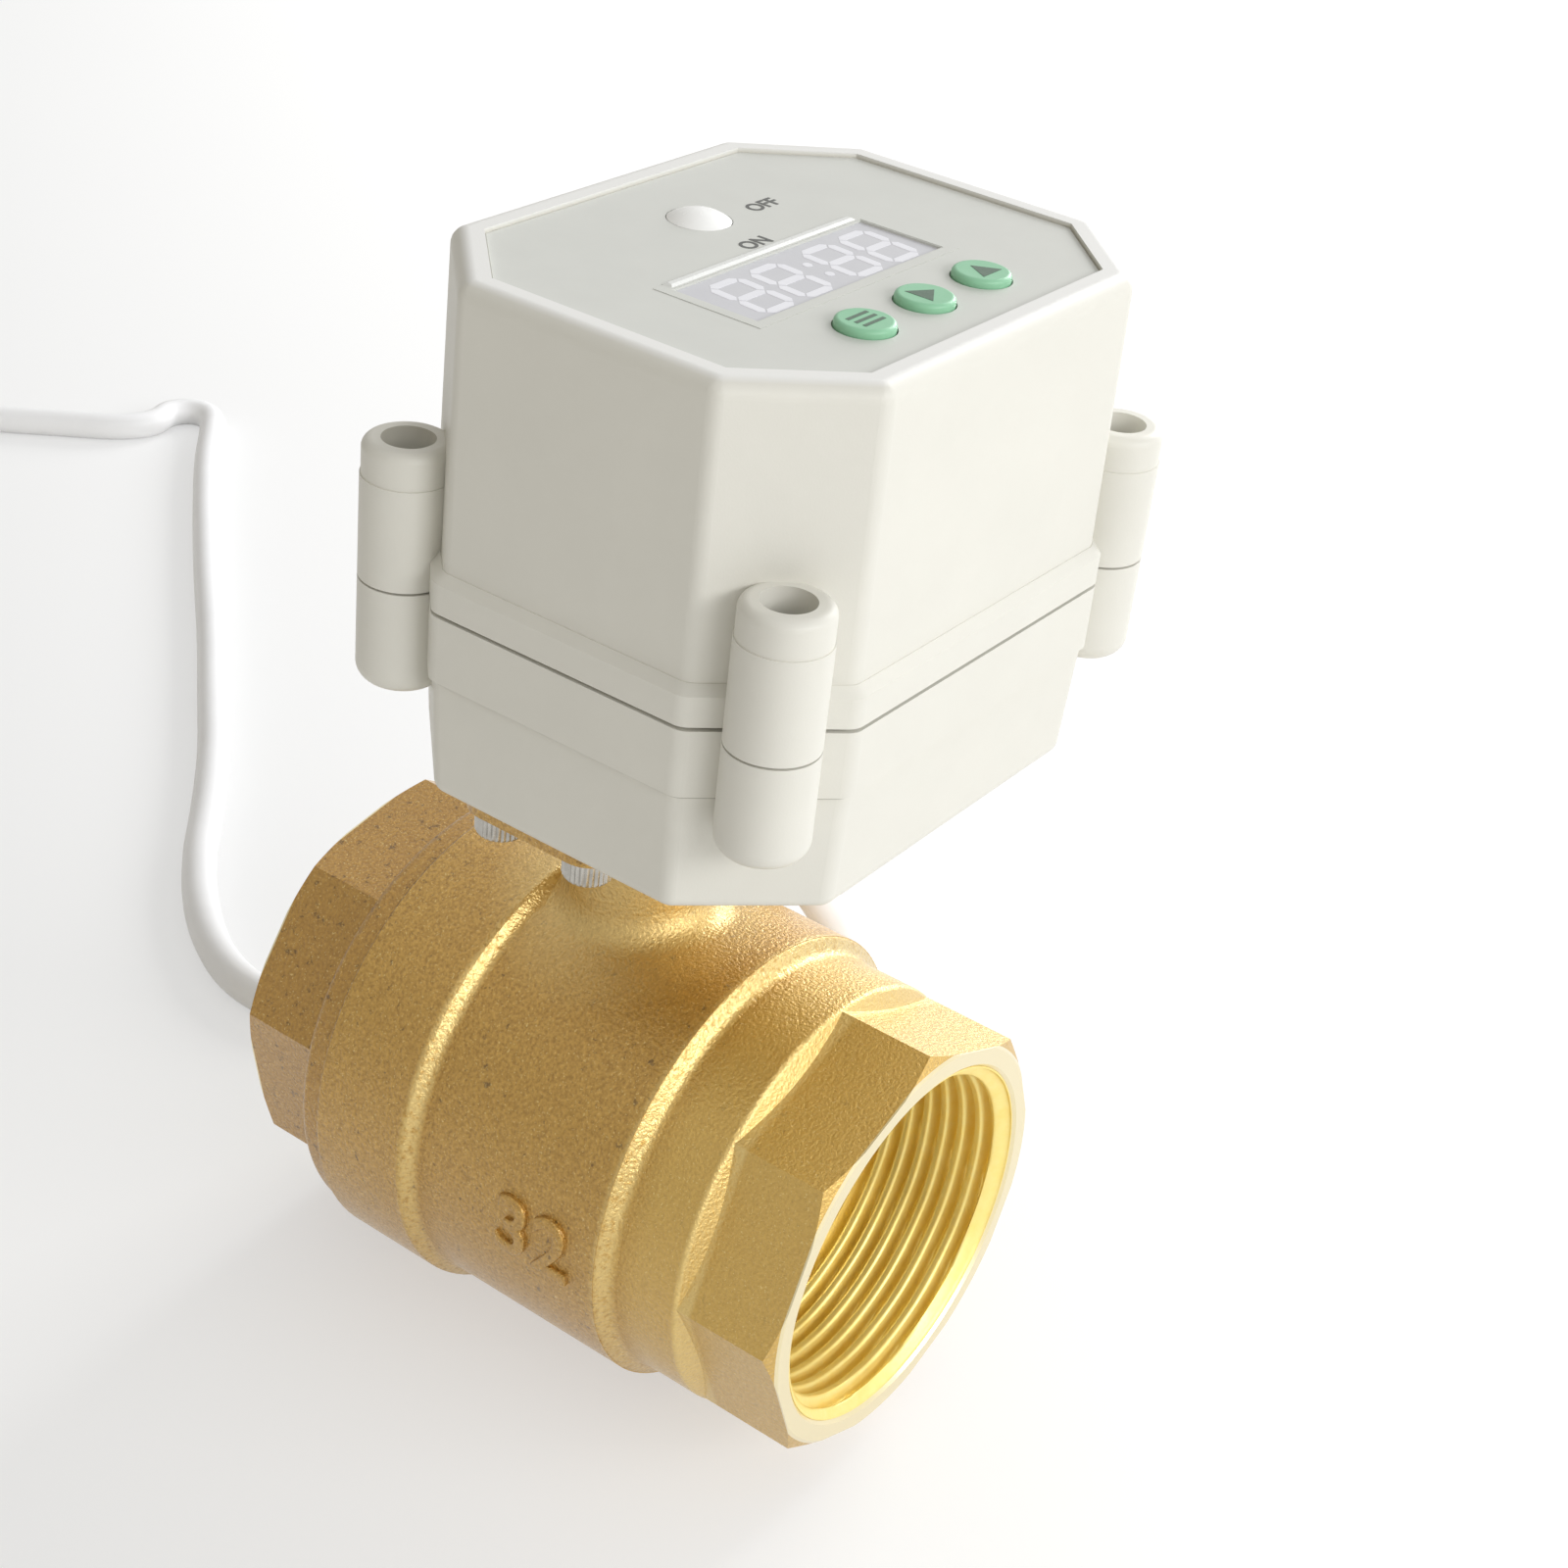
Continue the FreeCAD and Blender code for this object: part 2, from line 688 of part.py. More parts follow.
def make_upper_case():
    rim_z = parting_z + groove_half
    shell = octagon_loft([case_section(upper_inset, rim_z), case_section(top_inset, case_top_z)],
                         case_y, corner_r)
    shell = round_edges(shell, top_round, lambda e: e.BoundBox.ZMin > case_top_z - 1e-4)
    band = octagon_loft([case_section(0, rim_z), case_section(0, upper_band_z - band_chamfer),
                         case_section(upper_inset - 0.05, upper_band_z)], case_y, corner_r)
    posts = [make_post(x, y, parting_z + post_gap_half, post_top_z, True)
             for x, y in corner_places(post_x, post_y, case_y)]
    inner = octagon_loft([case_section(upper_inset + wall, rim_z - 1),
                          case_section(top_inset + wall, ceiling_z)], case_y)
    shape = shell.fuse([band] + posts)
    recess = case_prism(film_inset - film_gap, film_z, case_top_z + 1)
    shape = shape.cut([inner, recess])
    board_top = board_z + board_thick
    board_posts = [cylinder(board_post_r, board_top, ceiling_z + 0.5, x, y)
                   for x, y in corner_places(board_post_x, board_post_y, case_y)]
    shape = shape.fuse(board_posts)
    half_w, half_h = window_width / 2, window_height / 2
    tools = [block(window_x - half_w, window_x + half_w, window_y - half_h, window_y + half_h,
                   ceiling_z - 1, film_z + 1),
             block(window_x - half_w - window_lip, window_x + half_w + window_lip,
                   window_y - half_h - window_lip, window_y + half_h + window_lip,
                   ceiling_z - 1, window_z + window_lip_thick),
             cylinder(lens_r + lens_gap, ceiling_z - 1, film_z + 1, 0, stem_y)]
    for x in button_places.values():
        tools.append(cylinder(button_r + button_gap, ceiling_z - 1, film_z + 1, x, button_y))
    for x, y in corner_places(post_x, post_y, case_y):
        tools.append(cylinder(post_hole_r, post_seat_z, post_top_z + 1, x, y))
        tools.append(cylinder(post_through_r, parting_z - 1, post_seat_z, x, y))
    for x, y in corner_places(board_post_x, board_post_y, case_y):
        tools.append(cylinder(board_screw_r + thread_gap, board_top - 1, board_top + board_screw_length,
                              x, y))
    return shape.cut(tools)


def make_case_gasket():
    low, high = parting_z - groove_half, parting_z + groove_half
    posts = [cylinder(post_r + thread_gap, low, high, x, y) for x, y in corner_places(post_x, post_y, case_y)]
    return case_prism(gasket_inset, low, high).cut([case_prism(wall, low, high)] + posts)


def make_case_screws():
    screws = []
    for x, y in corner_places(post_x, post_y, case_y):
        head = cylinder(case_screw_head_r, post_seat_z, post_seat_z + case_screw_head_high, x, y)
        head = round_edges(head, case_screw_round, level_circle(post_seat_z + case_screw_head_high))
        shank = cylinder(case_screw_r, case_screw_end_z, post_seat_z, x, y)
        screws.append(head.fuse(shank))
    return Part.Compound(screws)


def make_panel_film():
    film = case_prism(film_inset, film_z, film_z + film_thick)
    half_w, half_h = window_width / 2, window_height / 2
    tools = [block(window_x - half_w, window_x + half_w, window_y - half_h, window_y + half_h,
                   film_z - 1, film_z + 1),
             cylinder(lens_r + lens_gap, film_z - 1, film_z + 1, 0, stem_y)]
    for x in button_places.values():
        tools.append(cylinder(button_r + button_gap, film_z - 1, film_z + 1, x, button_y))
    return film.cut(tools)


# Output shaft and gear train

def make_output_shaft():
    square_low = flange_top_z + coupling_mid + square_gap
    square_high = flange_top_z + coupling_top + square_gap
    step_z = top_plate_z + plate_thick + end_float
    shape = square_bar(shaft_square, square_low, square_high, 0, stem_y)
    shape = shape.fuse([cylinder(shaft_r, square_high, step_z, 0, stem_y),
                        cylinder(shaft_top_r, step_z, shaft_top_z, 0, stem_y)])
    socket = cylinder(pointer_spigot_r + thread_gap, shaft_top_z - pointer_socket, shaft_top_z, 0, stem_y)
    return shape.cut(socket)


def make_shaft_seal():
    low = flange_top_z + coupling_top + coupling_gap
    return tube(bush_bore_r, shaft_r + fit_gap, low, low + seal_thick, 0, stem_y)


def make_shaft_bush():
    low = flange_top_z + coupling_top + coupling_gap + seal_thick
    return tube(bush_bore_r, shaft_r + fit_gap, low, boss_top_z, 0, stem_y)


def tooth_points(teeth, module, tooth_angle):
    """Root, pitch and tip points of one tooth, as (radius, angle), in turning order."""
    pressure = math.radians(20)
    pitch_r = teeth * module / 2
    base_r = pitch_r * math.cos(pressure)
    root_r = pitch_r - dedendum * module
    tip_r = pitch_r + addendum * module
    half_pitch = math.pi / (2 * teeth) - backlash / (2 * pitch_r)
    flank = []
    for r in (root_r, pitch_r, tip_r):
        turn = math.acos(min(1.0, base_r / max(r, base_r)))
        half = half_pitch + (math.tan(pressure) - pressure) - (math.tan(turn) - turn)
        flank.append((r, half))
    ordered = [(r, tooth_angle - half) for r, half in flank]
    return ordered + [(r, tooth_angle + half) for r, half in reversed(flank)]


def gear(teeth, module, low, high, x, y, tooth_at, places=None, back_r=None):
    """A spur gear with one tooth centred at the angle tooth_at, in degrees. With places,
    it is a sector that has only those teeth."""
    points = []
    pitch = 2 * math.pi / teeth
    for k in range(*(places or (0, teeth))):
        points += tooth_points(teeth, module, math.radians(tooth_at) + pitch * k)
    if places:
        start, end = points[0][1], points[-1][1]
        gap = 2 * math.pi - (end - start)
        points += [(back_r, end + 0.03), (back_r, end + gap / 4), (back_r, end + gap / 2),
                   (back_r, end + gap * 3 / 4), (back_r, start - 0.03 + 2 * math.pi)]
    outline = [V(x + r * math.cos(a), y + r * math.sin(a), low) for r, a in points]
    return polygon_face(outline).extrude(V(0, 0, high - low))


def step_to(place, direction, distance):
    angle = math.radians(direction)
    return (place[0] + distance * math.cos(angle), place[1] + distance * math.sin(angle))


half_tooth = 180.0 / pinion_teeth
output_place = (0.0, stem_y)
second_place = step_to(output_place, output_direction, output_module * (output_teeth + pinion_teeth) / 2)
first_place = step_to(second_place, second_direction, second_module * (wheel_teeth + pinion_teeth) / 2)
motor_place = step_to(first_place, motor_direction, first_module * (wheel_teeth + pinion_teeth) / 2)
motor_low_z = top_plate_z + plate_thick
pillar_places = [(sx * (plate_half_x - inset_x), plate_y + sy * (plate_half_y - inset_y))
                 for sx, inset_x, sy, inset_y in pillar_insets]
corner_pillar_x = motor_place[0] + motor_pillar_x
corner_sum = case_y + band_half_x + band_half_y - band_cut
pillar_places.append((corner_pillar_x, corner_sum - corner_pillar_inset - corner_pillar_x))
motor_length = board_z - motor_headroom - terminal_size[2] - motor_cap_high - motor_low_z


def make_output_gear():
    # The sector turns a quarter turn one way, so its teeth lie on the other side of the mesh.
    places = (-output_sector[1], -output_sector[0] + 1)
    low, high = gear_level_a
    shape = gear(output_teeth, output_module, low, high, *output_place, output_direction,
                 places, sector_back_r)
    hub = cylinder(sector_hub_r, bottom_plate_z + plate_thick + end_float, low, *output_place)
    return shape.fuse(hub).cut(cylinder(shaft_r + thread_gap, low - 5, high + 5, *output_place))


def make_idler(place, pinion_module, pinion_level, pinion_at, wheel_module, wheel_level, wheel_at):
    pinion = gear(pinion_teeth, pinion_module, pinion_level[0], pinion_level[1], *place, pinion_at)
    wheel = gear(wheel_teeth, wheel_module, wheel_level[0], wheel_level[1], *place, wheel_at)
    low = bottom_plate_z + plate_thick + end_float
    high = top_plate_z - end_float
    hub = cylinder(idler_hub_r, low, high, *place)
    return pinion.fuse([wheel, hub]).cut(cylinder(axle_r + fit_gap, low - 1, high + 1, *place))


def make_second_idler():
    return make_idler(second_place, output_module, gear_level_a, output_direction + 180 + half_tooth,
                      second_module, gear_level_b, second_direction)


def make_first_idler():
    return make_idler(first_place, second_module, gear_level_b, second_direction + 180 + half_tooth,
                      first_module, gear_level_c, motor_direction)


def make_motor_pinion():
    low, high = gear_level_c
    shape = gear(pinion_teeth, first_module, low, high, *motor_place, motor_direction + 180 + half_tooth)
    return shape.cut(cylinder(motor_shaft_r + thread_gap, low - 1, high + 1, *motor_place))


def make_motor_shaft():
    return cylinder(motor_shaft_r, gear_level_c[0], motor_low_z + motor_shaft_depth, *motor_place)


def make_idler_axles():
    low, high = bottom_plate_z, top_plate_z + plate_thick
    return Part.Compound([cylinder(axle_r, low, high, *place) for place in (second_place, first_place)])


def plate_blank(low):
    section = (plate_half_x, plate_half_y, plate_cut)
    return octagon_loft([section + (low,), section + (low + plate_thick,)], plate_y)


def make_bottom_plate():
    low, high = bottom_plate_z - 1, bottom_plate_z + plate_thick + 1
    tools = [cylinder(shaft_r + end_float, low, high, *output_place)]
    tools += [cylinder(axle_r + thread_gap, low, high, *place) for place in (second_place, first_place)]
    tools += [cylinder(pillar_bore_r, low, high, x, y) for x, y in pillar_places]
    return plate_blank(bottom_plate_z).cut(tools)


def make_top_plate():
    low, high = top_plate_z - 1, top_plate_z + plate_thick + 1
    tools = [cylinder(shaft_r + fit_gap, low, high, *output_place),
             cylinder(motor_boss_r + thread_gap, low, high, *motor_place)]
    tools += [cylinder(axle_r + thread_gap, low, high, *place) for place in (second_place, first_place)]
    tools += [cylinder(pillar_bore_r, low, high, x, y) for x, y in pillar_places]
    tools += [cylinder(switch_hole_r - switch_screw_gap + thread_gap, low, high, x, y)
              for x, y in switch_screw_places()]
    return plate_blank(top_plate_z).cut(tools)


def make_frame_pillars():
    low, high = bottom_plate_z + plate_thick, top_plate_z
    return Part.Compound([tube(pillar_r, pillar_bore_r, low, high, x, y) for x, y in pillar_places])


def make_frame_screws():
    screws = []
    seat = top_plate_z + plate_thick
    for x, y in pillar_places:
        head = cylinder(frame_screw_head_r, seat, seat + frame_screw_head_high, x, y)
        head = round_edges(head, frame_screw_round, level_circle(seat + frame_screw_head_high))
        screws.append(head.fuse(cylinder(frame_screw_r, bottom_plate_z - frame_screw_grip, seat, x, y)))
    return Part.Compound(screws)


def make_gear_motor():
    x, y = motor_place
    low = motor_low_z
    can = cylinder(motor_r, low, low + motor_length, x, y)
    can = can.common(block(x - motor_r, x + motor_r, y - motor_flat, y + motor_flat, low, low + motor_length))
    boss = cylinder(motor_boss_r, low - motor_boss_high, low, x, y)
    return can.fuse(boss).cut(cylinder(motor_shaft_r + fit_gap, low - 5, low + motor_shaft_depth + 0.2, x, y))


def make_motor_cap():
    x, y = motor_place
    low = motor_low_z + motor_length
    inset = 0.4
    cap = cylinder(motor_r - inset, low, low + motor_cap_high, x, y)
    cap = cap.common(block(x - motor_r, x + motor_r, y - motor_flat + inset, y + motor_flat - inset,
                           low, low + motor_cap_high))
    width, thick, high = terminal_size
    tabs = []
    for side in (-1, 1):
        tx = x + side * motor_r * 0.55
        tabs.append(block(tx - width / 2, tx + width / 2, y - thick / 2, y + thick / 2,
                          low + motor_cap_high / 2, low + motor_cap_high + high))
    return cap.fuse(tabs)


# Position cams and limit switches

def make_position_cams():
    cams = []
    for low, turn in zip(cam_levels, cam_turns):
        disc = cylinder(cam_r, low, low + cam_thick, 0, stem_y)
        start = 180 + turn - cam_low_angle / 2
        reach = 2 * cam_r
        corners = [V(0, stem_y, low)]
        for share in (0, 0.5, 1):
            angle = math.radians(start + share * cam_low_angle)
            corners.append(V(reach * math.cos(angle), stem_y + reach * math.sin(angle), low))
        wedge = polygon_face(corners).extrude(V(0, 0, cam_thick))
        wedge = wedge.cut(cylinder(cam_low_r, low, low + cam_thick, 0, stem_y))
        cam = disc.cut([wedge, cylinder(shaft_top_r + thread_gap, low, low + cam_thick, 0, stem_y)])
        cams.append(cam)
    return Part.Compound(cams)


switch_face_x = -(cam_r + switch_reach + switch_nose)


def switch_screw_places():
    length, width, high = switch_size
    x = switch_face_x - length / 2 + switch_hole_pitch / 2
    return [(x, stem_y), (x - switch_hole_pitch, stem_y)]


def make_limit_switches():
    length, width, high = switch_size
    switches = []
    low = top_plate_z + plate_thick
    for cam_low in cam_levels:
        x0 = switch_face_x - length
        body = block(x0, switch_face_x, stem_y - width / 2, stem_y + width / 2, low, low + high)
        nose_z = cam_low + cam_thick / 2
        nose = block(switch_face_x - 0.5, switch_face_x + switch_nose, stem_y - switch_nose_width / 2,
                     stem_y + switch_nose_width / 2, nose_z - switch_nose_width, nose_z + switch_nose_width)
        pins = [block(x0 - switch_pin_length, x0, stem_y + d - 0.25, stem_y + d + 0.25, low + 1, low + 3)
                for d in (-switch_pin_pitch, 0, switch_pin_pitch)]
        holes = [cylinder(switch_hole_r, low, low + high, x, y) for x, y in switch_screw_places()]
        switches.append(body.fuse([nose] + pins).cut(holes))
        low += high + switch_gap
    return Part.Compound(switches)


def make_switch_spacer():
    length, width, high = switch_size
    low = top_plate_z + plate_thick + high
    plate = block(switch_face_x - length, switch_face_x, stem_y - width / 2, stem_y + width / 2,
                  low, low + switch_gap)
    return plate.cut([cylinder(switch_hole_r, low, low + switch_gap, x, y) for x, y in switch_screw_places()])


def make_switch_screws():
    screws = []
    seat = top_plate_z + plate_thick + 2 * switch_size[2] + switch_gap
    for x, y in switch_screw_places():
        head = cylinder(switch_screw_head_r, seat, seat + switch_screw_head_high, x, y)
        shank = cylinder(switch_hole_r - switch_screw_gap, top_plate_z, seat, x, y)
        screws.append(head.fuse(shank))
    return Part.Compound(screws)


# Board, display and buttons

def make_control_board():
    board = case_prism(board_inset, board_z, board_z + board_thick)
    tools = [cylinder(pointer_hole_r, board_z - 1, board_z + 3, 0, stem_y)]
    for x, y in corner_places(board_post_x, board_post_y, case_y):
        tools.append(cylinder(board_screw_r + 0.1, board_z - 1, board_z + 3, x, y))
    return board.cut(tools)


def make_board_screws():
    screws = []
    for x, y in corner_places(board_post_x, board_post_y, case_y):
        head = cylinder(board_screw_head_r, board_z - board_screw_head_high, board_z, x, y)
        shank = cylinder(board_screw_r, board_z, board_z + board_thick + board_screw_length - 0.3, x, y)
        screws.append(head.fuse(shank))
    return Part.Compound(screws)


def make_board_parts():
    """Relay, capacitor and processor, hanging under the board."""
    front_y = board_front_y + board_part_edge
    relay_x = -board_post_x + board_post_r + board_part_edge
    width, depth, high = relay_size
    relay = block(relay_x, relay_x + width, front_y, front_y + depth, board_z - high, board_z)
    capacitor = cylinder(capacitor_r, board_z - capacitor_high, board_z, capacitor_x,
                         front_y + capacitor_r + board_part_edge)
    half = chip_size[0] / 2
    chip = block(-half, half, case_y - half, case_y + half, board_z - chip_size[1], board_z)
    return Part.Compound([relay, capacitor, chip])


def make_board_terminal():
    """A screw terminal with one way for each lead of the cable."""
    front_y = board_front_y + board_part_edge
    width, depth, high = terminal_block_size
    right_x = board_post_x - board_post_r - board_part_edge
    body = block(right_x - width, right_x, front_y, front_y + depth, board_z - high, board_z)
    pitch = width / lead_count
    ways = [cylinder(terminal_way_r, board_z - high - 1, board_z - high / 2, right_x - pitch * (k + 0.5),
                     front_y + depth / 2) for k in range(lead_count)]
    return body.cut(ways)


def make_display_module():
    low = board_z + board_thick
    half_w, half_h = window_width / 2 - module_gap, window_height / 2 - module_gap
    shape = block(window_x - half_w, window_x + half_w, window_y - half_h, window_y + half_h,
                  low, window_z - 0.05)
    upright = [e for e in shape.Edges if abs(e.Vertexes[0].Z - e.Vertexes[1].Z) > 1e-6]
    return shape.makeFillet(0.6, upright)


def make_display_window():
    """The window's pane stands in the case's opening, and its lip lies under the edge."""
    def pane(half_w, half_h, low, high):
        return block(window_x - half_w, window_x + half_w, window_y - half_h, window_y + half_h, low, high)

    half_w, half_h = window_width / 2 - window_gap, window_height / 2 - window_gap
    lip = pane(half_w + window_lip, half_h + window_lip, window_z, window_z + window_lip_thick)
    return pane(half_w, half_h, window_z, window_z + window_thick).fuse(lip)


cap_bottom = ceiling_z - button_under_ceiling - button_flange_thick


def make_button(x):
    top = film_z + film_thick + button_proud
    cap = cylinder(button_r, cap_bottom, top, x, button_y)
    cap = round_edges(cap, button_round, level_circle(top))
    return cap.fuse(cylinder(button_flange_r, cap_bottom, cap_bottom + button_flange_thick, x, button_y))


def make_plunger(x):
    return cylinder(plunger_r, board_z + board_thick + key_high - plunger_depth, cap_bottom, x, button_y)


def make_button_switches():
    switches = []
    low = board_z + board_thick
    for x in button_places.values():
        body = block(x - key_size / 2, x + key_size / 2, button_y - key_size / 2, button_y + key_size / 2,
                     low, low + key_high)
        well_low = low + key_high - plunger_depth - button_travel - 0.1
        well = cylinder(key_well_r, well_low, low + key_high, x, button_y)
        switches.append(body.cut(well))
    return Part.Compound(switches)


# Position lens and pointer

def make_position_lens():
    top = film_z + film_thick
    centre_drop = (lens_r ** 2 - lens_rise ** 2) / (2 * lens_rise)
    dome_r = centre_drop + lens_rise
    dome = Part.makeSphere(dome_r, V(0, stem_y, top - centre_drop))
    dome = dome.common(cylinder(lens_r, top, top + lens_rise + 0.1, 0, stem_y))
    barrel = cylinder(lens_r, ceiling_z, top, 0, stem_y)
    flange = cylinder(lens_flange_r, ceiling_z - lens_flange_thick, ceiling_z, 0, stem_y)
    shape = barrel.fuse([dome, flange])
    return shape.cut(cylinder(lens_r - lens_wall, ceiling_z - 5, top - 0.3, 0, stem_y))


def make_position_pointer():
    disc_top = film_z - 0.6
    disc_low = disc_top - pointer_disc_thick
    rod = cylinder(pointer_rod_r, shaft_top_z, disc_low, 0, stem_y)
    spigot = cylinder(pointer_spigot_r, shaft_top_z - pointer_socket + 0.2, shaft_top_z, 0, stem_y)
    disc = cylinder(pointer_disc_r, disc_low, disc_top, 0, stem_y)
    blade = block(-0.45, 0.45, stem_y - pointer_disc_r + 0.2, stem_y + pointer_disc_r - 0.2,
                  disc_top, disc_top + 0.2)
    return rod.fuse([spigot, disc, blade])


# Cable

relief_exit_z = case_bottom_z - relief_length
floor_z = cable_r + floor_gap
cable_route = [
    (relief_x, relief_y, relief_exit_z), (relief_x, relief_y, 52.5), (31.8, 0.8, 43.0), (39.3, 1.2, 34.0),
    (45.0, -1.6, 22.6), (51.0, -2.4, 12.0), (59.5, 0.6, 4.2), (68.0, 8.0, floor_z), (72.5, 19.5, floor_z),
    (69.5, 32.0, floor_z), (59.5, 41.0, floor_z), (46.0, 45.5, floor_z), (31.0, 47.0, floor_z),
    (17.5, 52.0, floor_z), (9.0, 62.5, floor_z), (8.2, 74.0, floor_z), (14.0, 86.0, floor_z),
    (24.0, 98.0, floor_z), (36.0, 108.5, floor_z), (48.0, 120.0, floor_z), (59.0, 132.0, floor_z),
    (73.0, 147.0, floor_z), (89.0, 165.2, floor_z), (105.0, 182.6, floor_z), (118.5, 196.8, floor_z),
    (127.5, 205.0, floor_z), (133.5, 211.0, floor_z), (133.0, 216.0, floor_z), (128.6, 218.4, floor_z),
    (123.4, 216.2, floor_z), (117.0, 219.5, floor_z), (110.5, 227.5, floor_z), (102.5, 237.0, floor_z),
    (93.5, 248.0, floor_z), (85.0, 258.5, floor_z)]


def tube_path(points):
    """Straight runs joined by tangent arcs. Returns the wire, its length and the arcs' radii."""
    corners = [V(*p) for p in points]
    edges, radii = [], []
    here = corners[0]
    for before, corner, after in zip(corners, corners[1:], corners[2:]):
        incoming, outgoing = corner - before, after - corner
        run_in, run_out = incoming.Length, outgoing.Length
        incoming.normalize()
        outgoing.normalize()
        turn = math.acos(max(-1.0, min(1.0, incoming.dot(outgoing))))
        reach = 0.45 * min(run_in, run_out)
        radius = reach / math.tan(turn / 2)
        radii.append((round(radius, 1), round(math.degrees(turn))))
        start, end = corner - incoming * reach, corner + outgoing * reach
        bisector = outgoing - incoming
        bisector.normalize()
        middle = corner + bisector * (radius / math.cos(turn / 2) - radius)
        edges.append(Part.LineSegment(here, start).toShape())
        edges.append(Part.Arc(start, middle, end).toShape())
        here = end
    edges.append(Part.LineSegment(here, corners[-1]).toShape())
    return Part.Wire(edges), radii


def make_power_cable():
    path, radii = tube_path(cable_route)
    start, ahead = V(*cable_route[0]), V(*cable_route[1]) - V(*cable_route[0])
    section = Part.Wire(Part.makeCircle(cable_r, start, ahead))
    solid = path.makePipeShell([section], True, False)
    expected = math.pi * cable_r ** 2 * path.Length
    print("cable length %.1f, volume over section times length %.4f" % (path.Length, solid.Volume / expected))
    print("cable radii and turns", radii)
    return solid


def make_cable_leads():
    end = V(*cable_route[-1])
    ahead = end - V(*cable_route[-2])
    ahead.normalize()
    side = V(-ahead.y, ahead.x, 0)
    leads = []
    for k in range(lead_count):
        angle = 2 * math.pi * k / lead_count + math.pi / 2
        offset = side * (lead_spread * math.cos(angle)) + V(0, 0, lead_spread * math.sin(angle))
        leads.append(Part.makeCylinder(lead_r, lead_length - 3 * k, end + offset, ahead))
    return Part.Compound(leads)


def make_strain_relief():
    tip_z, root_z = relief_exit_z, case_bottom_z - relief_collar
    cone = Part.makeCone(relief_tip_r, relief_root_r - 0.5, root_z - tip_z, V(relief_x, relief_y, tip_z))
    shape = cone.fuse([cylinder(relief_root_r, root_z, case_bottom_z, relief_x, relief_y),
                       cylinder(relief_groove_r - thread_gap, case_bottom_z, case_bottom_z + wall,
                                relief_x, relief_y),
                       cylinder(relief_flange_r, case_bottom_z + wall, case_bottom_z + wall + relief_inner,
                                relief_x, relief_y)])
    pitch = (root_z - tip_z - 2.0) / relief_ring_count
    grooves = []
    for k in range(relief_ring_count):
        low = tip_z + 1.2 + pitch * k
        share = (low - tip_z) / (root_z - tip_z)
        floor_r = relief_tip_r + share * (relief_root_r - 0.5 - relief_tip_r) - relief_ring_depth
        grooves.append(tube(relief_root_r + 1, floor_r, low, low + relief_ring_width, relief_x, relief_y))
    return shape.cut(grooves)


parts = {
    "valve_body": make_valve_body,
    "end_adapter": make_end_adapter,
    "body_seal": make_body_seal,
    "front_seat": lambda: make_seat(-1),
    "rear_seat": lambda: make_seat(1),
    "ball": make_ball,
    "stem": make_stem,
    "stem_rings": make_stem_rings,
    "thrust_washer": make_thrust_washer,
    "stem_bush": make_stem_bush,
    "drive_coupling": make_drive_coupling,
    "flange_screws": make_flange_screws,
    "lower_case": make_lower_case,
    "upper_case": make_upper_case,
    "case_gasket": make_case_gasket,
    "case_screws": make_case_screws,
    "panel_film": make_panel_film,
    "output_shaft": make_output_shaft,
    "shaft_seal": make_shaft_seal,
    "shaft_bush": make_shaft_bush,
    "output_gear": make_output_gear,
    "second_idler": make_second_idler,
    "first_idler": make_first_idler,
    "motor_pinion": make_motor_pinion,
    "motor_shaft": make_motor_shaft,
    "idler_axles": make_idler_axles,
    "bottom_plate": make_bottom_plate,
    "top_plate": make_top_plate,
    "frame_pillars": make_frame_pillars,
    "frame_screws": make_frame_screws,
    "gear_motor": make_gear_motor,
    "motor_cap": make_motor_cap,
    "position_cams": make_position_cams,
    "limit_switches": make_limit_switches,
    "switch_spacer": make_switch_spacer,
    "switch_screws": make_switch_screws,
    "control_board": make_control_board,
    "board_screws": make_board_screws,
    "board_parts": make_board_parts,
    "board_terminal": make_board_terminal,
    "display_module": make_display_module,
    "display_window": make_display_window,
    "button_switches": make_button_switches,
    "position_lens": make_position_lens,
    "position_pointer": make_position_pointer,
    "strain_relief": make_strain_relief,
    "power_cable": make_power_cable,
    "cable_leads": make_cable_leads,
}
for button, place in button_places.items():
    parts[button + "_button"] = lambda x=place: make_button(x)
    parts[button + "_plunger"] = lambda x=place: make_plunger(x)

os.makedirs("parts", exist_ok=True)
for name, make in parts.items():
    shape = make()
    if not shape.isValid():
        print("not valid:", name)
    shape.exportStep("parts/" + name + ".step")
    print(name, len(shape.Solids), "solids", round(shape.Volume, 1))
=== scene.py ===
import json
from math import cos, pi, radians, sin

import bmesh
import bpy
from mathutils import Matrix, Vector


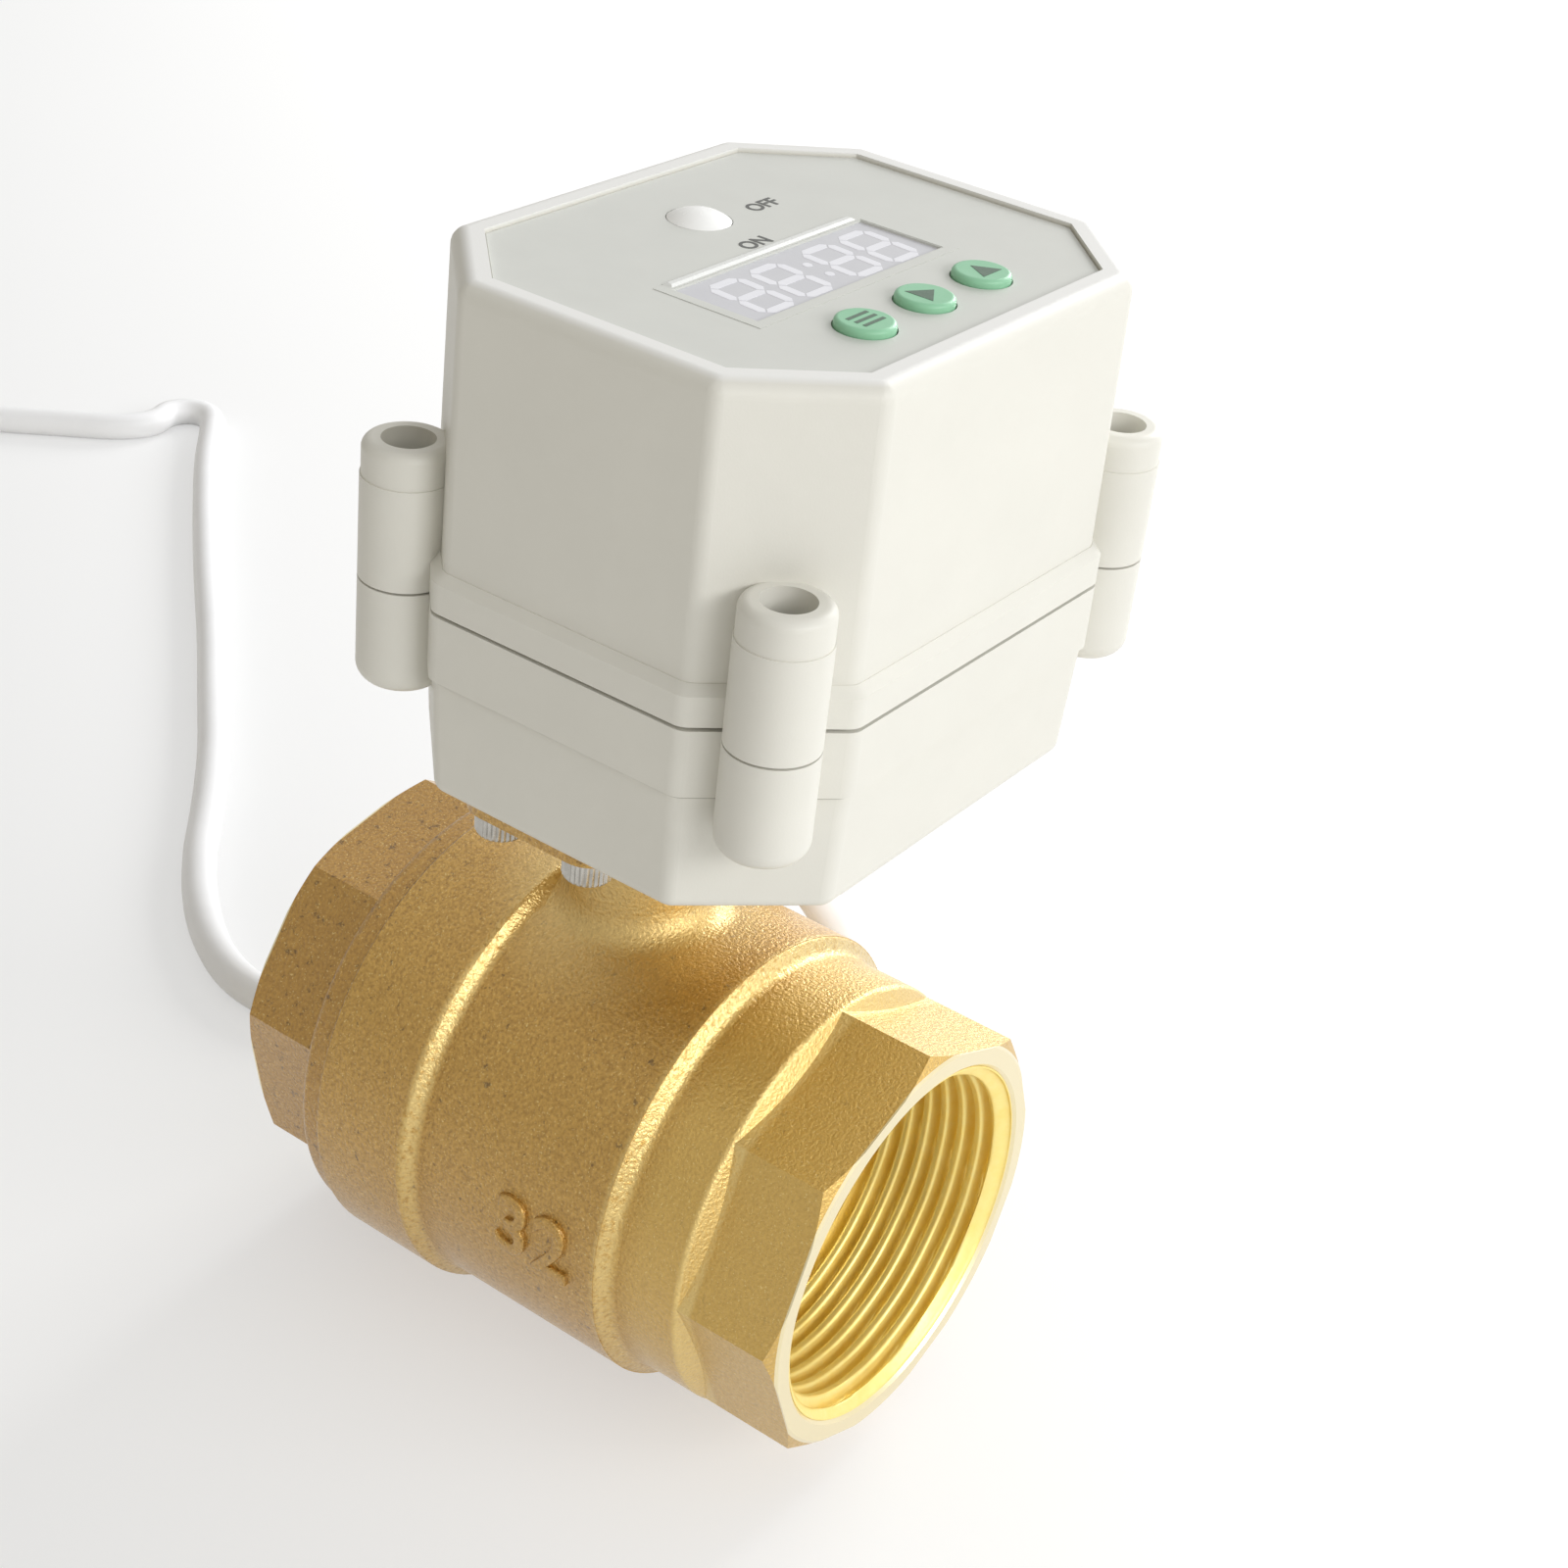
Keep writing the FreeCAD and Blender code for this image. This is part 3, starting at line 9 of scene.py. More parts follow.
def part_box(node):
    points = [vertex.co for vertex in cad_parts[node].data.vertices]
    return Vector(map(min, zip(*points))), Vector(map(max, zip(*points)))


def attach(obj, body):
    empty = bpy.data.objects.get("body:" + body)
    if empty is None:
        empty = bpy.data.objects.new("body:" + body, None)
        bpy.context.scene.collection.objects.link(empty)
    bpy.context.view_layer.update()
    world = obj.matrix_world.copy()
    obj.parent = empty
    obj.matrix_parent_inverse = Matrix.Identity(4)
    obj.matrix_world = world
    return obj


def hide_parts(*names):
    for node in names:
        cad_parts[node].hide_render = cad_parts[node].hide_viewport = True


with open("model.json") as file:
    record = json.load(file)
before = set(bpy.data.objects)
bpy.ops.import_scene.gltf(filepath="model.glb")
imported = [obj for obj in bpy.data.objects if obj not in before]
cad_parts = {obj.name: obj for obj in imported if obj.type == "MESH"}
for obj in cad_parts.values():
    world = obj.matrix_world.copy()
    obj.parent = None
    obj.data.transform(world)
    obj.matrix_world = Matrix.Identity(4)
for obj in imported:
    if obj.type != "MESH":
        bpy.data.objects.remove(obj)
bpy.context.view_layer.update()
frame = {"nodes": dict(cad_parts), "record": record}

nodes = frame["nodes"]
mm = 0.001
pipeZ = 28.3 * mm        # height of the pipe's axis
stemY = 1.4 * mm         # the stem stands a little behind the middle


def sideOf(name, axis, end):
    # lowest (0) or highest (1) reach of a node along an axis
    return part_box(name)[end][axis]


def linear(rgb):
    # a colour as a paint card gives it, 0 to 255, to the renderer's values
    return tuple(c / 12.92 if c <= 0.04045 else ((c + 0.055) / 1.055) ** 2.4
                 for c in (v / 255 for v in rgb)) + (1.0,)


# camera, floor and light, as in the photo

cameraSetup = {
    "place": (-196.53 * mm, -142.83 * mm, 217.24 * mm),
    "right": (0.5903, -0.8009, 0.1005),
    "up": (0.3651, 0.3760, 0.8517),
    "back": (-0.7200, -0.4660, 0.5143),
    "lens": 60.97,
    "film": 36.0,
    "nearest": 0.01,
}


def addCamera(c):
    data = bpy.data.cameras.new("camera")
    data.lens = c["lens"]
    data.sensor_width = c["film"]
    data.clip_start = c["nearest"]
    cam = bpy.data.objects.new("camera", data)
    turn = Matrix((c["right"], c["up"], c["back"])).transposed().to_4x4()
    cam.matrix_world = Matrix.Translation(c["place"]) @ turn
    bpy.context.scene.collection.objects.link(cam)
    bpy.context.scene.camera = cam
    return cam


def newTree(name):
    mat = bpy.data.materials.new(name)
    mat.use_nodes = True
    tree = mat.node_tree
    tree.nodes.clear()
    return mat, tree


def put(tree, kind, inputs=(), **settings):
    node = tree.nodes.new(kind)
    for key, value in settings.items():
        setattr(node, key, value)
    for key, value in dict(inputs).items():
        if isinstance(value, bpy.types.NodeSocket):
            tree.links.new(value, node.inputs[key])
        else:
            node.inputs[key].default_value = value
    return node


def objectPlace(tree):
    return put(tree, "ShaderNodeTexCoord").outputs["Object"]


def reckon(tree, operation, *values):
    return put(tree, "ShaderNodeMath", dict(enumerate(values)), operation=operation).outputs[0]


def reckonVector(tree, operation, *values):
    node = put(tree, "ShaderNodeVectorMath", dict(enumerate(values)), operation=operation)
    return node.outputs["Value" if operation in ("LENGTH", "DISTANCE", "DOT_PRODUCT") else "Vector"]


def span(tree, value, reach, to=(0.0, 1.0)):
    # carries the values of one span over to another
    return put(tree, "ShaderNodeMapRange", {"Value": value, "From Min": reach[0], "From Max": reach[1],
                                            "To Min": to[0], "To Max": to[1]}).outputs["Result"]


def blend(tree, factor, first, second, kind="RGBA"):
    inputs = {"Factor": factor, "A": first, "B": second}
    return put(tree, "ShaderNodeMix", inputs, data_type=kind).outputs["Result"]


def noise(tree, coords, scale, detail, rough=0.5):
    return put(tree, "ShaderNodeTexNoise", {"Vector": coords, "Scale": scale, "Detail": detail,
                                            "Roughness": rough}).outputs["Fac"]


def offFrom(tree, value, level):
    # how far a value lies from a level, on either side
    return reckon(tree, "ABSOLUTE", reckon(tree, "SUBTRACT", value, level))


floorSetup = {
    "size": 24.0,
    "tone": (240, 240, 239),
    "cloudTone": (243, 243, 242),
    "cloudScale": 3.0,
    "rough": 0.9,
    "shine": 0.1,
    "soft": 0.5,                         # share of the shadow that is seen
    "across": (0.88, -0.61, 0.0),        # the painted glow on the paper grows stronger this way
    "reach": (-0.16, 0.10),
    "lift": (0.40, 0.60),
}


def addFloor(f):
    half = f["size"] / 2
    mesh = bpy.data.meshes.new("floor")
    mesh.from_pydata([(-half, -half, 0), (half, -half, 0), (half, half, 0), (-half, half, 0)], [], [(0, 1, 2, 3)])
    floor = bpy.data.objects.new("floor", mesh)
    bpy.context.scene.collection.objects.link(floor)
    mat, tree = newTree("paperFloor")
    coords = objectPlace(tree)
    cloud = noise(tree, coords, f["cloudScale"], 2.0)
    tone = blend(tree, cloud, linear(f["tone"]), linear(f["cloudTone"]))
    paper = put(tree, "ShaderNodeBsdfPrincipled", {"Base Color": tone, "Roughness": f["rough"],
                                                   "Specular IOR Level": f["shine"]}).outputs["BSDF"]
    # seen straight on, or mirrored, part of the paper's shading gives way to a painted glow, stronger towards one
    # side: painted light that softens its shadows and lightens one side
    side = reckonVector(tree, "DOT_PRODUCT", coords, f["across"])
    paintedGlow = reckon(tree, "MULTIPLY", span(tree, side, f["reach"], f["lift"]), seenRays(tree))
    light = put(tree, "ShaderNodeEmission", {"Color": (1, 1, 1, 1), "Strength": paintedGlow}).outputs[0]
    none = put(tree, "ShaderNodeEmission", {"Color": (0, 0, 0, 1), "Strength": 0.0}).outputs[0]
    fade = reckon(tree, "MULTIPLY", seenRays(tree), 1.0 - f["soft"])
    shaded = put(tree, "ShaderNodeMixShader", {0: fade, 1: paper, 2: none}).outputs[0]
    both = put(tree, "ShaderNodeAddShader", {0: shaded, 1: light}).outputs[0]
    put(tree, "ShaderNodeOutputMaterial", {"Surface": both})
    mesh.materials.append(mat)
    return floor


def seenRays(tree):
    # 1 for the rays that show a background: straight ones, mirrored ones and those through glass
    path = put(tree, "ShaderNodeLightPath").outputs
    mirrored = reckon(tree, "MAXIMUM", path["Is Camera Ray"], path["Is Glossy Ray"])
    return reckon(tree, "MAXIMUM", mirrored, path["Is Transmission Ray"])


lightSetup = {
    "dim": (0.19, 0.13, 0.02),           # the room on the valve's left
    "bright": (0.62, 0.63, 0.64),        # the side of the windows
    "paleDim": (0.44, 0.43, 0.41),       # the same room as it is seen, straight on or mirrored
    "paleBright": (1.0, 1.0, 1.0),
    "windowSide": (0.42, -0.48, 0.77),
    "turn": (-0.7, 0.7),                 # from the dim side to the windows
    "lamps": {
        # name: (place, aim, width, height, watts)
        "window": ((-0.06, -1.12, 0.62), (0, 0, 0.06), 1.3, 0.4, 8.7),
        "sideWindow": ((1.15, 0.02, 0.52), (0, 0, 0.06), 0.5, 0.6, 9.0),
    },
}


def addLight(setup):
    world = bpy.data.worlds.new("room")
    bpy.context.scene.world = world
    world.use_nodes = True
    tree = world.node_tree
    tree.nodes.clear()
    way = put(tree, "ShaderNodeTexCoord").outputs["Generated"]
    share = span(tree, reckonVector(tree, "DOT_PRODUCT", way, setup["windowSide"]), setup["turn"])
    walls = []
    for low, high in (("dim", "bright"), ("paleDim", "paleBright")):
        tone = blend(tree, share, (*setup[low], 1), (*setup[high], 1))
        walls.append(put(tree, "ShaderNodeBackground", {"Color": tone, "Strength": 1.0}).outputs[0])
    pick = put(tree, "ShaderNodeMixShader", {0: seenRays(tree), 1: walls[0], 2: walls[1]})
    put(tree, "ShaderNodeOutputWorld", {"Surface": pick.outputs[0]})
    for name, (place, aim, width, height, watts) in setup["lamps"].items():
        data = bpy.data.lights.new(name, "AREA")
        data.shape = "RECTANGLE"
        data.size = width
        data.size_y = height
        data.energy = watts
        lamp = bpy.data.objects.new(name, data)
        lamp.location = place
        lamp.rotation_euler = (Vector(aim) - Vector(place)).to_track_quat("-Z", "Y").to_euler()
        bpy.context.scene.collection.objects.link(lamp)


addCamera(cameraSetup)
addFloor(floorSetup)
addLight(lightSetup)
bpy.context.scene.view_settings.view_transform = "Standard"
print("camera, floor and light are in")


# finishes

bandShadeLine = {
    # painted shade under the overhanging band of the lower case, between its posts
    "level": 93.22 * mm,
    "half": 0.17 * mm,
    "middle": (0.0, -10.26 * mm, 0.0),
    "post": (28.25 * mm, 21.96 * mm, 0.0),
    "postR": 4.6 * mm,
    "tone": (118, 113, 98),
}
rimHighlightLine = {
    # painted highlight along the top edge of the case
    "level": 133.35 * mm,
    "half": 0.9 * mm,
    "middle": (0.0, 0.0, 0.0),
    "post": (0.0, 0.0, 0.0),
    "postR": 0.0,
    "tone": (241, 241, 240),
}
lineShare = 0.75
lineCore = 0.6                           # share of a line that has its full tone


def lineMask(tree, coords, line):
    # 1 along a level line, apart from where the posts stand
    xyz = put(tree, "ShaderNodeSeparateXYZ", {0: coords}).outputs
    near = span(tree, offFrom(tree, xyz["Z"], line["level"]), (line["half"] * lineCore, line["half"]),
                (lineShare, 0.0))
    flat = put(tree, "ShaderNodeCombineXYZ", {"X": xyz["X"], "Y": xyz["Y"]}).outputs[0]
    flat = reckonVector(tree, "ABSOLUTE", reckonVector(tree, "SUBTRACT", flat, line["middle"]))
    clear = reckon(tree, "GREATER_THAN", reckonVector(tree, "DISTANCE", flat, line["post"]), line["postR"])
    return reckon(tree, "MULTIPLY", near, clear)


grainSpan = (0.3, 0.7)                   # most of a noise's values lie in here
glossSpread = 0.15                       # share by which the grain changes the roughness


def finish(name, base, second, rough, metal=0.0, patch=120.0, grain=3000.0, bump=0.15, depth=0.02, spread=0.5,
           coat=0.0, special=None, line=None):
    # two tones in soft patches, with a fine grain in the surface and in its gloss
    mat, tree = newTree(name)
    coords = objectPlace(tree)
    patches = noise(tree, coords, patch, 5.0, 0.6)
    soft = span(tree, patches, (0.5 - spread / 2, 0.5 + spread / 2))
    tone = blend(tree, soft, linear(base), linear(second))
    # painted lines along a level: shade under the band, a highlight on the rim
    if line:
        tone = blend(tree, lineMask(tree, coords, line), tone, linear(line["tone"]))
    fine = noise(tree, coords, grain, 3.0)
    gloss = span(tree, fine, grainSpan, (rough * (1 - glossSpread), min(1.0, rough * (1 + glossSpread))))
    relief = put(tree, "ShaderNodeBump", {"Height": fine, "Strength": bump, "Distance": depth * mm})
    shader = put(tree, "ShaderNodeBsdfPrincipled", {
        "Base Color": tone, "Roughness": gloss, "Metallic": metal, "Coat Weight": coat,
        "Normal": relief.outputs["Normal"]})
    for key, value in (special or {}).items():
        shader.inputs[key].default_value = value
    put(tree, "ShaderNodeOutputMaterial", {"Surface": shader.outputs["BSDF"]})
    return mat


brass = {
    "sandDark": (166, 125, 46),
    "sandLight": (212, 168, 80),
    "fineScale": 2600.0,
    "broadScale": 1200.0,
    "broadShare": 0.2,
    "pit": (88, 62, 22),                 # small pits of the casting
    "pitScale": 760.0,
    "pitFrom": 0.64,
    "pitRun": 0.07,
    "pitShare": 0.65,
    "spark": (248, 226, 152),            # painted glints: grains coloured as if they catch the light
    "sparkScale": 3900.0,
    "sparkSpan": (0.67, 0.71),
    "sparkShare": 0.5,
    "portSheen": (224, 188, 98),          # painted sheen, paler toward the front port that faces the window
    "portSpan": (-15 * mm, -21 * mm),
    "portShare": 0.58,
    "wearAndSheen": (238, 212, 140),             # painted highlight along the barrel's steps, which are also worn smoother
    "wornShare": 0.75,
    "wornRough": 0.3,
    "wornSteps": (-17.1 * mm, 9.4 * mm),
    "wornBand": (0.3 * mm, 1.2 * mm),
    "wornScale": 1700.0,
    "wornSpan": (0.3, 0.52),
    # the painted highlight fades lower down over this rise
    "sheenRise": (-12 * mm, 12 * mm),
    "sheenBelow": 0.5,
    "wornReach": 28.5 * mm,
    "neck": (0.0, stemY, 0.0),           # painted highlight round the foot of the neck
    "neckBand": (10 * mm, 17 * mm),
    "neckRise": (47 * mm, 50 * mm),
    "neckShare": 0.48,
    "edge": -26.9 * mm,                  # painted highlight along the edges where the octagon runs out
    "edgeBand": (0.7 * mm, 1.3 * mm),
    "edgeShare": 0.6,
    "joint": 22.5 * mm,                  # dirt fills the joint of the two castings
    "jointBand": (0.08 * mm, 0.2 * mm),
    "jointShare": 0.8,
    "metal": 0.82,
    "sandRough": (0.55, 0.37),
    "sandSpan": (0.35, 0.7),
    "coat": 0.9,
    "coatRough": 0.24,
    "coatIndex": 1.55,
    "reliefDeep": 0.2 * mm,
    "turned": (238, 224, 180),           # turned end faces and turned insides, their tone paled past brass's own as a painted reflection
    "turnedRough": 0.32,
    "turnedScale": 4000.0,
    "turnedRelief": 0.1,
    "portReach": 21.6 * mm,
    "faceY": 38.2 * mm,
}


def sandedBrass(name, b):
    mat, tree = newTree(name)
    coords = objectPlace(tree)
    xyz = put(tree, "ShaderNodeSeparateXYZ", {0: coords}).outputs

    def bandAt(y, band, share=1.0):
        return span(tree, offFrom(tree, xyz["Y"], y), band, (share, 0.0))

    def lay(factor, under, key):
        return blend(tree, factor, under, linear(b[key]))

    # distance from the pipe's axis tells the turned faces from the cast ones
    lift = reckon(tree, "SUBTRACT", xyz["Z"], pipeZ)
    around = put(tree, "ShaderNodeCombineXYZ", {"X": xyz["X"], "Y": lift}).outputs[0]
    reach = reckonVector(tree, "LENGTH", around)
    inside = reckon(tree, "LESS_THAN", reach, b["portReach"])
    onFace = reckon(tree, "GREATER_THAN", reckon(tree, "ABSOLUTE", xyz["Y"]), b["faceY"])
    turned = reckon(tree, "MAXIMUM", inside, onFace)

    # sandblasted grain and pits, and painted glints
    fine, broad = noise(tree, coords, b["fineScale"], 3.0, 0.55), noise(tree, coords, b["broadScale"], 4.0, 0.65)
    grain = blend(tree, b["broadShare"], fine, broad, "FLOAT")
    cast = lay(span(tree, grain, grainSpan), linear(b["sandDark"]), "sandLight")
    pits = noise(tree, coords, b["pitScale"], 3.0, 0.7)
    cast = lay(span(tree, pits, (b["pitFrom"], b["pitFrom"] + b["pitRun"]), (0.0, b["pitShare"])), cast, "pit")
    # painted sheen toward the front port
    cast = lay(span(tree, xyz["Y"], b["portSpan"], (0.0, b["portShare"])), cast, "portSheen")
    sparks = noise(tree, coords, b["sparkScale"], 1.0, 0.55)
    cast = lay(span(tree, sparks, b["sparkSpan"], (0.0, b["sparkShare"])), cast, "spark")

    # painted highlights on the worn steps, the neck's foot and the octagon's edges, and the dark joint
    wearAndSheen = reckon(tree, "MAXIMUM", *[bandAt(y, b["wornBand"]) for y in b["wornSteps"]])
    for part in (span(tree, noise(tree, coords, b["wornScale"], 3.0, 0.55), b["wornSpan"]),
                 span(tree, lift, b["sheenRise"], (b["sheenBelow"], 1.0)),
                 reckon(tree, "LESS_THAN", reach, b["wornReach"])):
        wearAndSheen = reckon(tree, "MULTIPLY", wearAndSheen, part)
    # painted highlight on the steps, fading lower down; their wear only lowers the roughness
    cast = lay(span(tree, wearAndSheen, (0.0, 1.0), (0.0, b["wornShare"])), cast, "wearAndSheen")
    # painted highlight round the foot of the neck
    plan = put(tree, "ShaderNodeCombineXYZ", {"X": xyz["X"], "Y": xyz["Y"]}).outputs[0]
    away = reckonVector(tree, "DISTANCE", plan, b["neck"])
    foot = reckon(tree, "MULTIPLY", span(tree, away, b["neckBand"], (b["neckShare"], 0.0)),
                  span(tree, xyz["Z"], b["neckRise"]))
    # painted highlights at the neck's foot and along the octagon's edges
    cast = lay(reckon(tree, "MAXIMUM", foot, bandAt(b["edge"], b["edgeBand"], b["edgeShare"])), cast, "wearAndSheen")
    cast = lay(bandAt(b["joint"], b["jointBand"], b["jointShare"]), cast, "pit")

    rings = put(tree, "ShaderNodeCombineXYZ", {"X": reach}).outputs[0]
    rings = noise(tree, rings, b["turnedScale"], 2.0)
    sandGloss = blend(tree, wearAndSheen, span(tree, fine, b["sandSpan"], b["sandRough"]), b["wornRough"], "FLOAT")
    relief = put(tree, "ShaderNodeBump", {
        "Height": blend(tree, turned, grain, rings, "FLOAT"),
        "Strength": span(tree, turned, (0.0, 1.0), (1.0, b["turnedRelief"])), "Distance": b["reliefDeep"]})
    shader = put(tree, "ShaderNodeBsdfPrincipled", {
        "Base Color": lay(turned, cast, "turned"), "Metallic": b["metal"],
        "Roughness": blend(tree, turned, sandGloss, b["turnedRough"], "FLOAT"),
        "Coat Weight": b["coat"], "Coat Roughness": b["coatRough"], "Coat IOR": b["coatIndex"],
        "Normal": relief.outputs["Normal"], "Coat Normal": relief.outputs["Normal"]})
    put(tree, "ShaderNodeOutputMaterial", {"Surface": shader.outputs["BSDF"]})
    return mat


def clearPlastic(name, tint, shade, see, rough):
    mat, tree = newTree(name)
    haze = noise(tree, objectPlace(tree), 900.0, 2.0)
    gloss = span(tree, haze, (0.0, 1.0), (rough, rough * 1.8))
    shader = put(tree, "ShaderNodeBsdfPrincipled", {
        "Base Color": blend(tree, haze, linear(tint), linear(shade)), "Roughness": gloss,
        "Transmission Weight": see, "IOR": 1.46})
    put(tree, "ShaderNodeOutputMaterial", {"Surface": shader.outputs["BSDF"]})
    return mat


def casePlastic(name, line=None):
    return finish(name, (225, 223, 214), (221, 219, 210), 0.45, patch=90, grain=5200, bump=0.3, depth=0.03,
                  line=line)


# painted shade: the rear casting is a darker copy of the body's brass, with more pits
rearBrassPaintedShade = dict(brass, sandDark=(164, 121, 45), sandLight=(196, 151, 66), pitFrom=0.6)
mats = {
    "cast_brass": sandedBrass("castBrass", brass),
    "rearBrassPaintedShade": sandedBrass("rearBrassPaintedShade", rearBrassPaintedShade),
    "turned_brass": finish("turnedBrass", (206, 168, 94), (224, 188, 114), 0.3, 0.9, patch=300, bump=0.06),
    # painted light: the threads are a brightened copy of brass, for the light that falls into the ports
    "threadBrassPaintedLight": finish("threadBrassPaintedLight", (253, 228, 134), (255, 236, 156), 0.4, 0.6, patch=600, bump=0.08),
    "plated_ball": finish("platedBall", (196, 196, 194), (214, 214, 212), 0.12, 1.0, patch=200, bump=0.03),
    "seat_plastic": finish("seatPlastic", (236, 235, 228), (226, 225, 217), 0.5),
    "seal_rubber": finish("sealRubber", (28, 28, 29), (40, 40, 41), 0.65, bump=0.25),
    "nickel_screws": finish("nickelScrews", (206, 204, 198), (176, 172, 164), 0.3, 0.9, patch=700, bump=0.1),
    "case_plastic": casePlastic("casePlastic"),
    # the upper case carries a painted highlight along its rim
    "upperCase": casePlastic("upperCasePaintedRim", rimHighlightLine),
    # the lower case carries a painted shade line under its band
    "lowerCase": casePlastic("lowerCasePaintedShade", bandShadeLine),
    "film_plastic": finish("panelFilm", (214, 215, 209), (210, 211, 205), 0.38, patch=160, grain=9000, bump=0.14),
    "clear_plastic": clearPlastic("clearPlastic", (247, 248, 250), (241, 242, 244), 0.92, 0.06),
    "milkyLens": clearPlastic("milkyLens", (254, 254, 252), (248, 248, 246), 0.0, 0.18),
    "display_black": finish("displayGrey", (207, 207, 211), (202, 202, 207), 0.35, patch=300, coat=0.3),
    "button_rubber": finish("buttonRubber", (150, 205, 169), (141, 198, 160), 0.42, patch=240, grain=4200,
                            bump=0.2),
    "switch_plastic": finish("switchPlastic", (30, 30, 32), (42, 42, 44), 0.45),
    "steel": finish("turnedSteel", (178, 178, 178), (150, 150, 150), 0.28, 1.0, patch=400, bump=0.06),
    "gear_steel": finish("gearSteel", (168, 165, 158), (140, 137, 131), 0.34, 1.0, patch=500, bump=0.1),
    "gear_plastic": finish("gearPlastic", (232, 230, 218), (222, 219, 206), 0.4),
    "plate_steel": finish("plateSteel", (196, 197, 198), (172, 175, 180), 0.3, 1.0, patch=160, bump=0.08),
    "motor_can": finish("motorCan", (184, 185, 188), (160, 161, 165), 0.25, 1.0, patch=200, bump=0.06),
    "motor_plastic": finish("motorPlastic", (38, 38, 40), (48, 48, 50), 0.4),
    "cam_plastic": finish("camPlastic", (196, 62, 46), (180, 52, 38), 0.42),
    "board_green": finish("boardGreen", (22, 92, 52), (34, 112, 66), 0.35, patch=600, grain=1600, coat=0.4),
    "board_black": finish("boardBlack", (34, 35, 38), (44, 45, 48), 0.4),
    "terminal_green": finish("terminalGreen", (58, 142, 84), (50, 130, 76), 0.45),
    "pointer_red": finish("pointerRed", (206, 60, 44), (190, 52, 38), 0.4),
    "cable_white": finish("cableSheath", (251, 251, 252), (246, 246, 247), 0.42, patch=140, grain=2600, bump=0.12),
    "lead_colours": finish("leadRed", (186, 44, 38), (170, 36, 32), 0.42),
    "leadBlue": finish("leadBlue", (48, 78, 168), (40, 68, 154), 0.42),
    "leadBlack": finish("leadBlack", (32, 32, 34), (42, 42, 44), 0.42),
    "copper": finish("bareCopper", (206, 122, 78), (222, 146, 98), 0.3, 1.0, patch=900, bump=0.1),
    "printDark": finish("printInk", (84, 85, 82), (98, 99, 96), 0.5, patch=600),
    "glyphDark": finish("glyphInk", (82, 104, 88), (92, 114, 97), 0.5, patch=600),
    "stripWhite": finish("stripWhite", (232, 233, 230), (226, 227, 224), 0.3, patch=400),
    # the digits carry a faint painted glow
    "paintedGlowDigits": finish("paintedGlowDigits", (233, 233, 238), (227, 227, 233), 0.4, patch=400,
                        special={"Emission Color": (1, 1, 1, 1), "Emission Strength": 0.05}),
}
print(len(mats), "finishes made")


ownFinish = {
    "position_lens": "milkyLens",
    "end_adapter": "rearBrassPaintedShade",
    "lower_case": "lowerCase",
    "upper_case": "upperCase",
}


def dress(own):
    # every node takes its own finish, or else that of its slot
    for part in frame["record"]["subparts"]:
        node = nodes[part["node"]]
        node.data.materials.clear()
        node.data.materials.append(mats[own.get(part["node"], part["material_slot"])])


dress(ownFinish)
print("nodes dressed")


# helpers for the pieces built here

def addPiece(name, mesh, mat, body, replaced=()):
    piece = bpy.data.objects.new(name, mesh)
    bpy.context.scene.collection.objects.link(piece)
    if not mesh.materials:
        mesh.materials.append(mat)
    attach(piece, body)
    if replaced:
        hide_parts(*replaced)
    return piece


def smooth(mesh, angle=35):
    mesh.polygons.foreach_set("use_smooth", [True] * len(mesh.polygons))
    mesh.set_sharp_from_angle(angle=radians(angle))


def skin(bm, rings, closed=False):
    # joins rings of equal count into one skin, with end faces, or with its last ring joined to its first
    loops = [[bm.verts.new(p) for p in ring] for ring in rings]
    count = len(loops[0])
    pairs = list(zip(loops, loops[1:])) + ([(loops[-1], loops[0])] if closed else [])
    for a, b in pairs:
        for i in range(count):
            j = (i + 1) % count
            bm.faces.new((a[i], a[j], b[j], b[i]))
    if not closed:
        bm.faces.new(list(reversed(loops[0])))
        bm.faces.new(loops[-1])


def toMesh(name, bm, angle=35):
    bmesh.ops.recalc_face_normals(bm, faces=bm.faces)
    mesh = bpy.data.meshes.new(name)
    bm.to_mesh(mesh)
    bm.free()
    smooth(mesh, angle)
    return mesh


def turns(count):
    # angles of a full turn in equal steps
    return [2 * pi * i / count for i in range(count)]


# cable, its cores and their bare ends

cable = {
    "thick": 5.0 * mm,
    "length": 0.4400,
    "floor": 2.55,                       # height of the middle of the cable where it lies, in mm
    "route": [
        (25.6, -0.5, 60.5), (25.6, -0.5, 52.5), (31.8, 0.8, 43.0), (39.3, 1.2, 34.0), (45.0, -1.6, 22.6),
        (51.0, -2.4, 12.0), (59.5, 0.6, 4.2), (68.0, 8.0), (72.5, 19.5), (69.5, 32.0), (59.5, 41.0),
        (46.0, 45.5), (31.0, 47.0), (17.5, 52.0), (9.0, 62.5), (8.2, 74.0), (14.0, 86.0), (24.0, 98.0),
        (36.0, 108.5), (48.0, 120.0), (59.0, 132.0), (73.0, 147.0), (89.0, 165.2), (105.0, 182.6),
        (118.5, 196.8), (127.5, 205.0), (133.5, 211.0), (133.0, 216.0), (128.6, 218.4), (123.4, 216.2),
        (117.0, 219.5), (110.5, 227.5), (102.5, 237.0), (93.5, 248.0), (85.0, 258.5)],
    "roundSteps": 5,
    "alongSteps": 10,
    "cores": ("lead_colours", "leadBlack", "leadBlue"),
    "coreThick": 1.6 * mm,
    "coreSpread": 1.25 * mm,
    "coreLength": 21.5 * mm,
    "coreStep": 3.0 * mm,                # each core is cut this much shorter than the last
    "coreSides": 16,
    "bare": 5.0 * mm,
    "strandShare": 0.28,                 # radius of the bare strands over the core's thickness
    "strandWave": 0.06,
    "strands": 6,
}


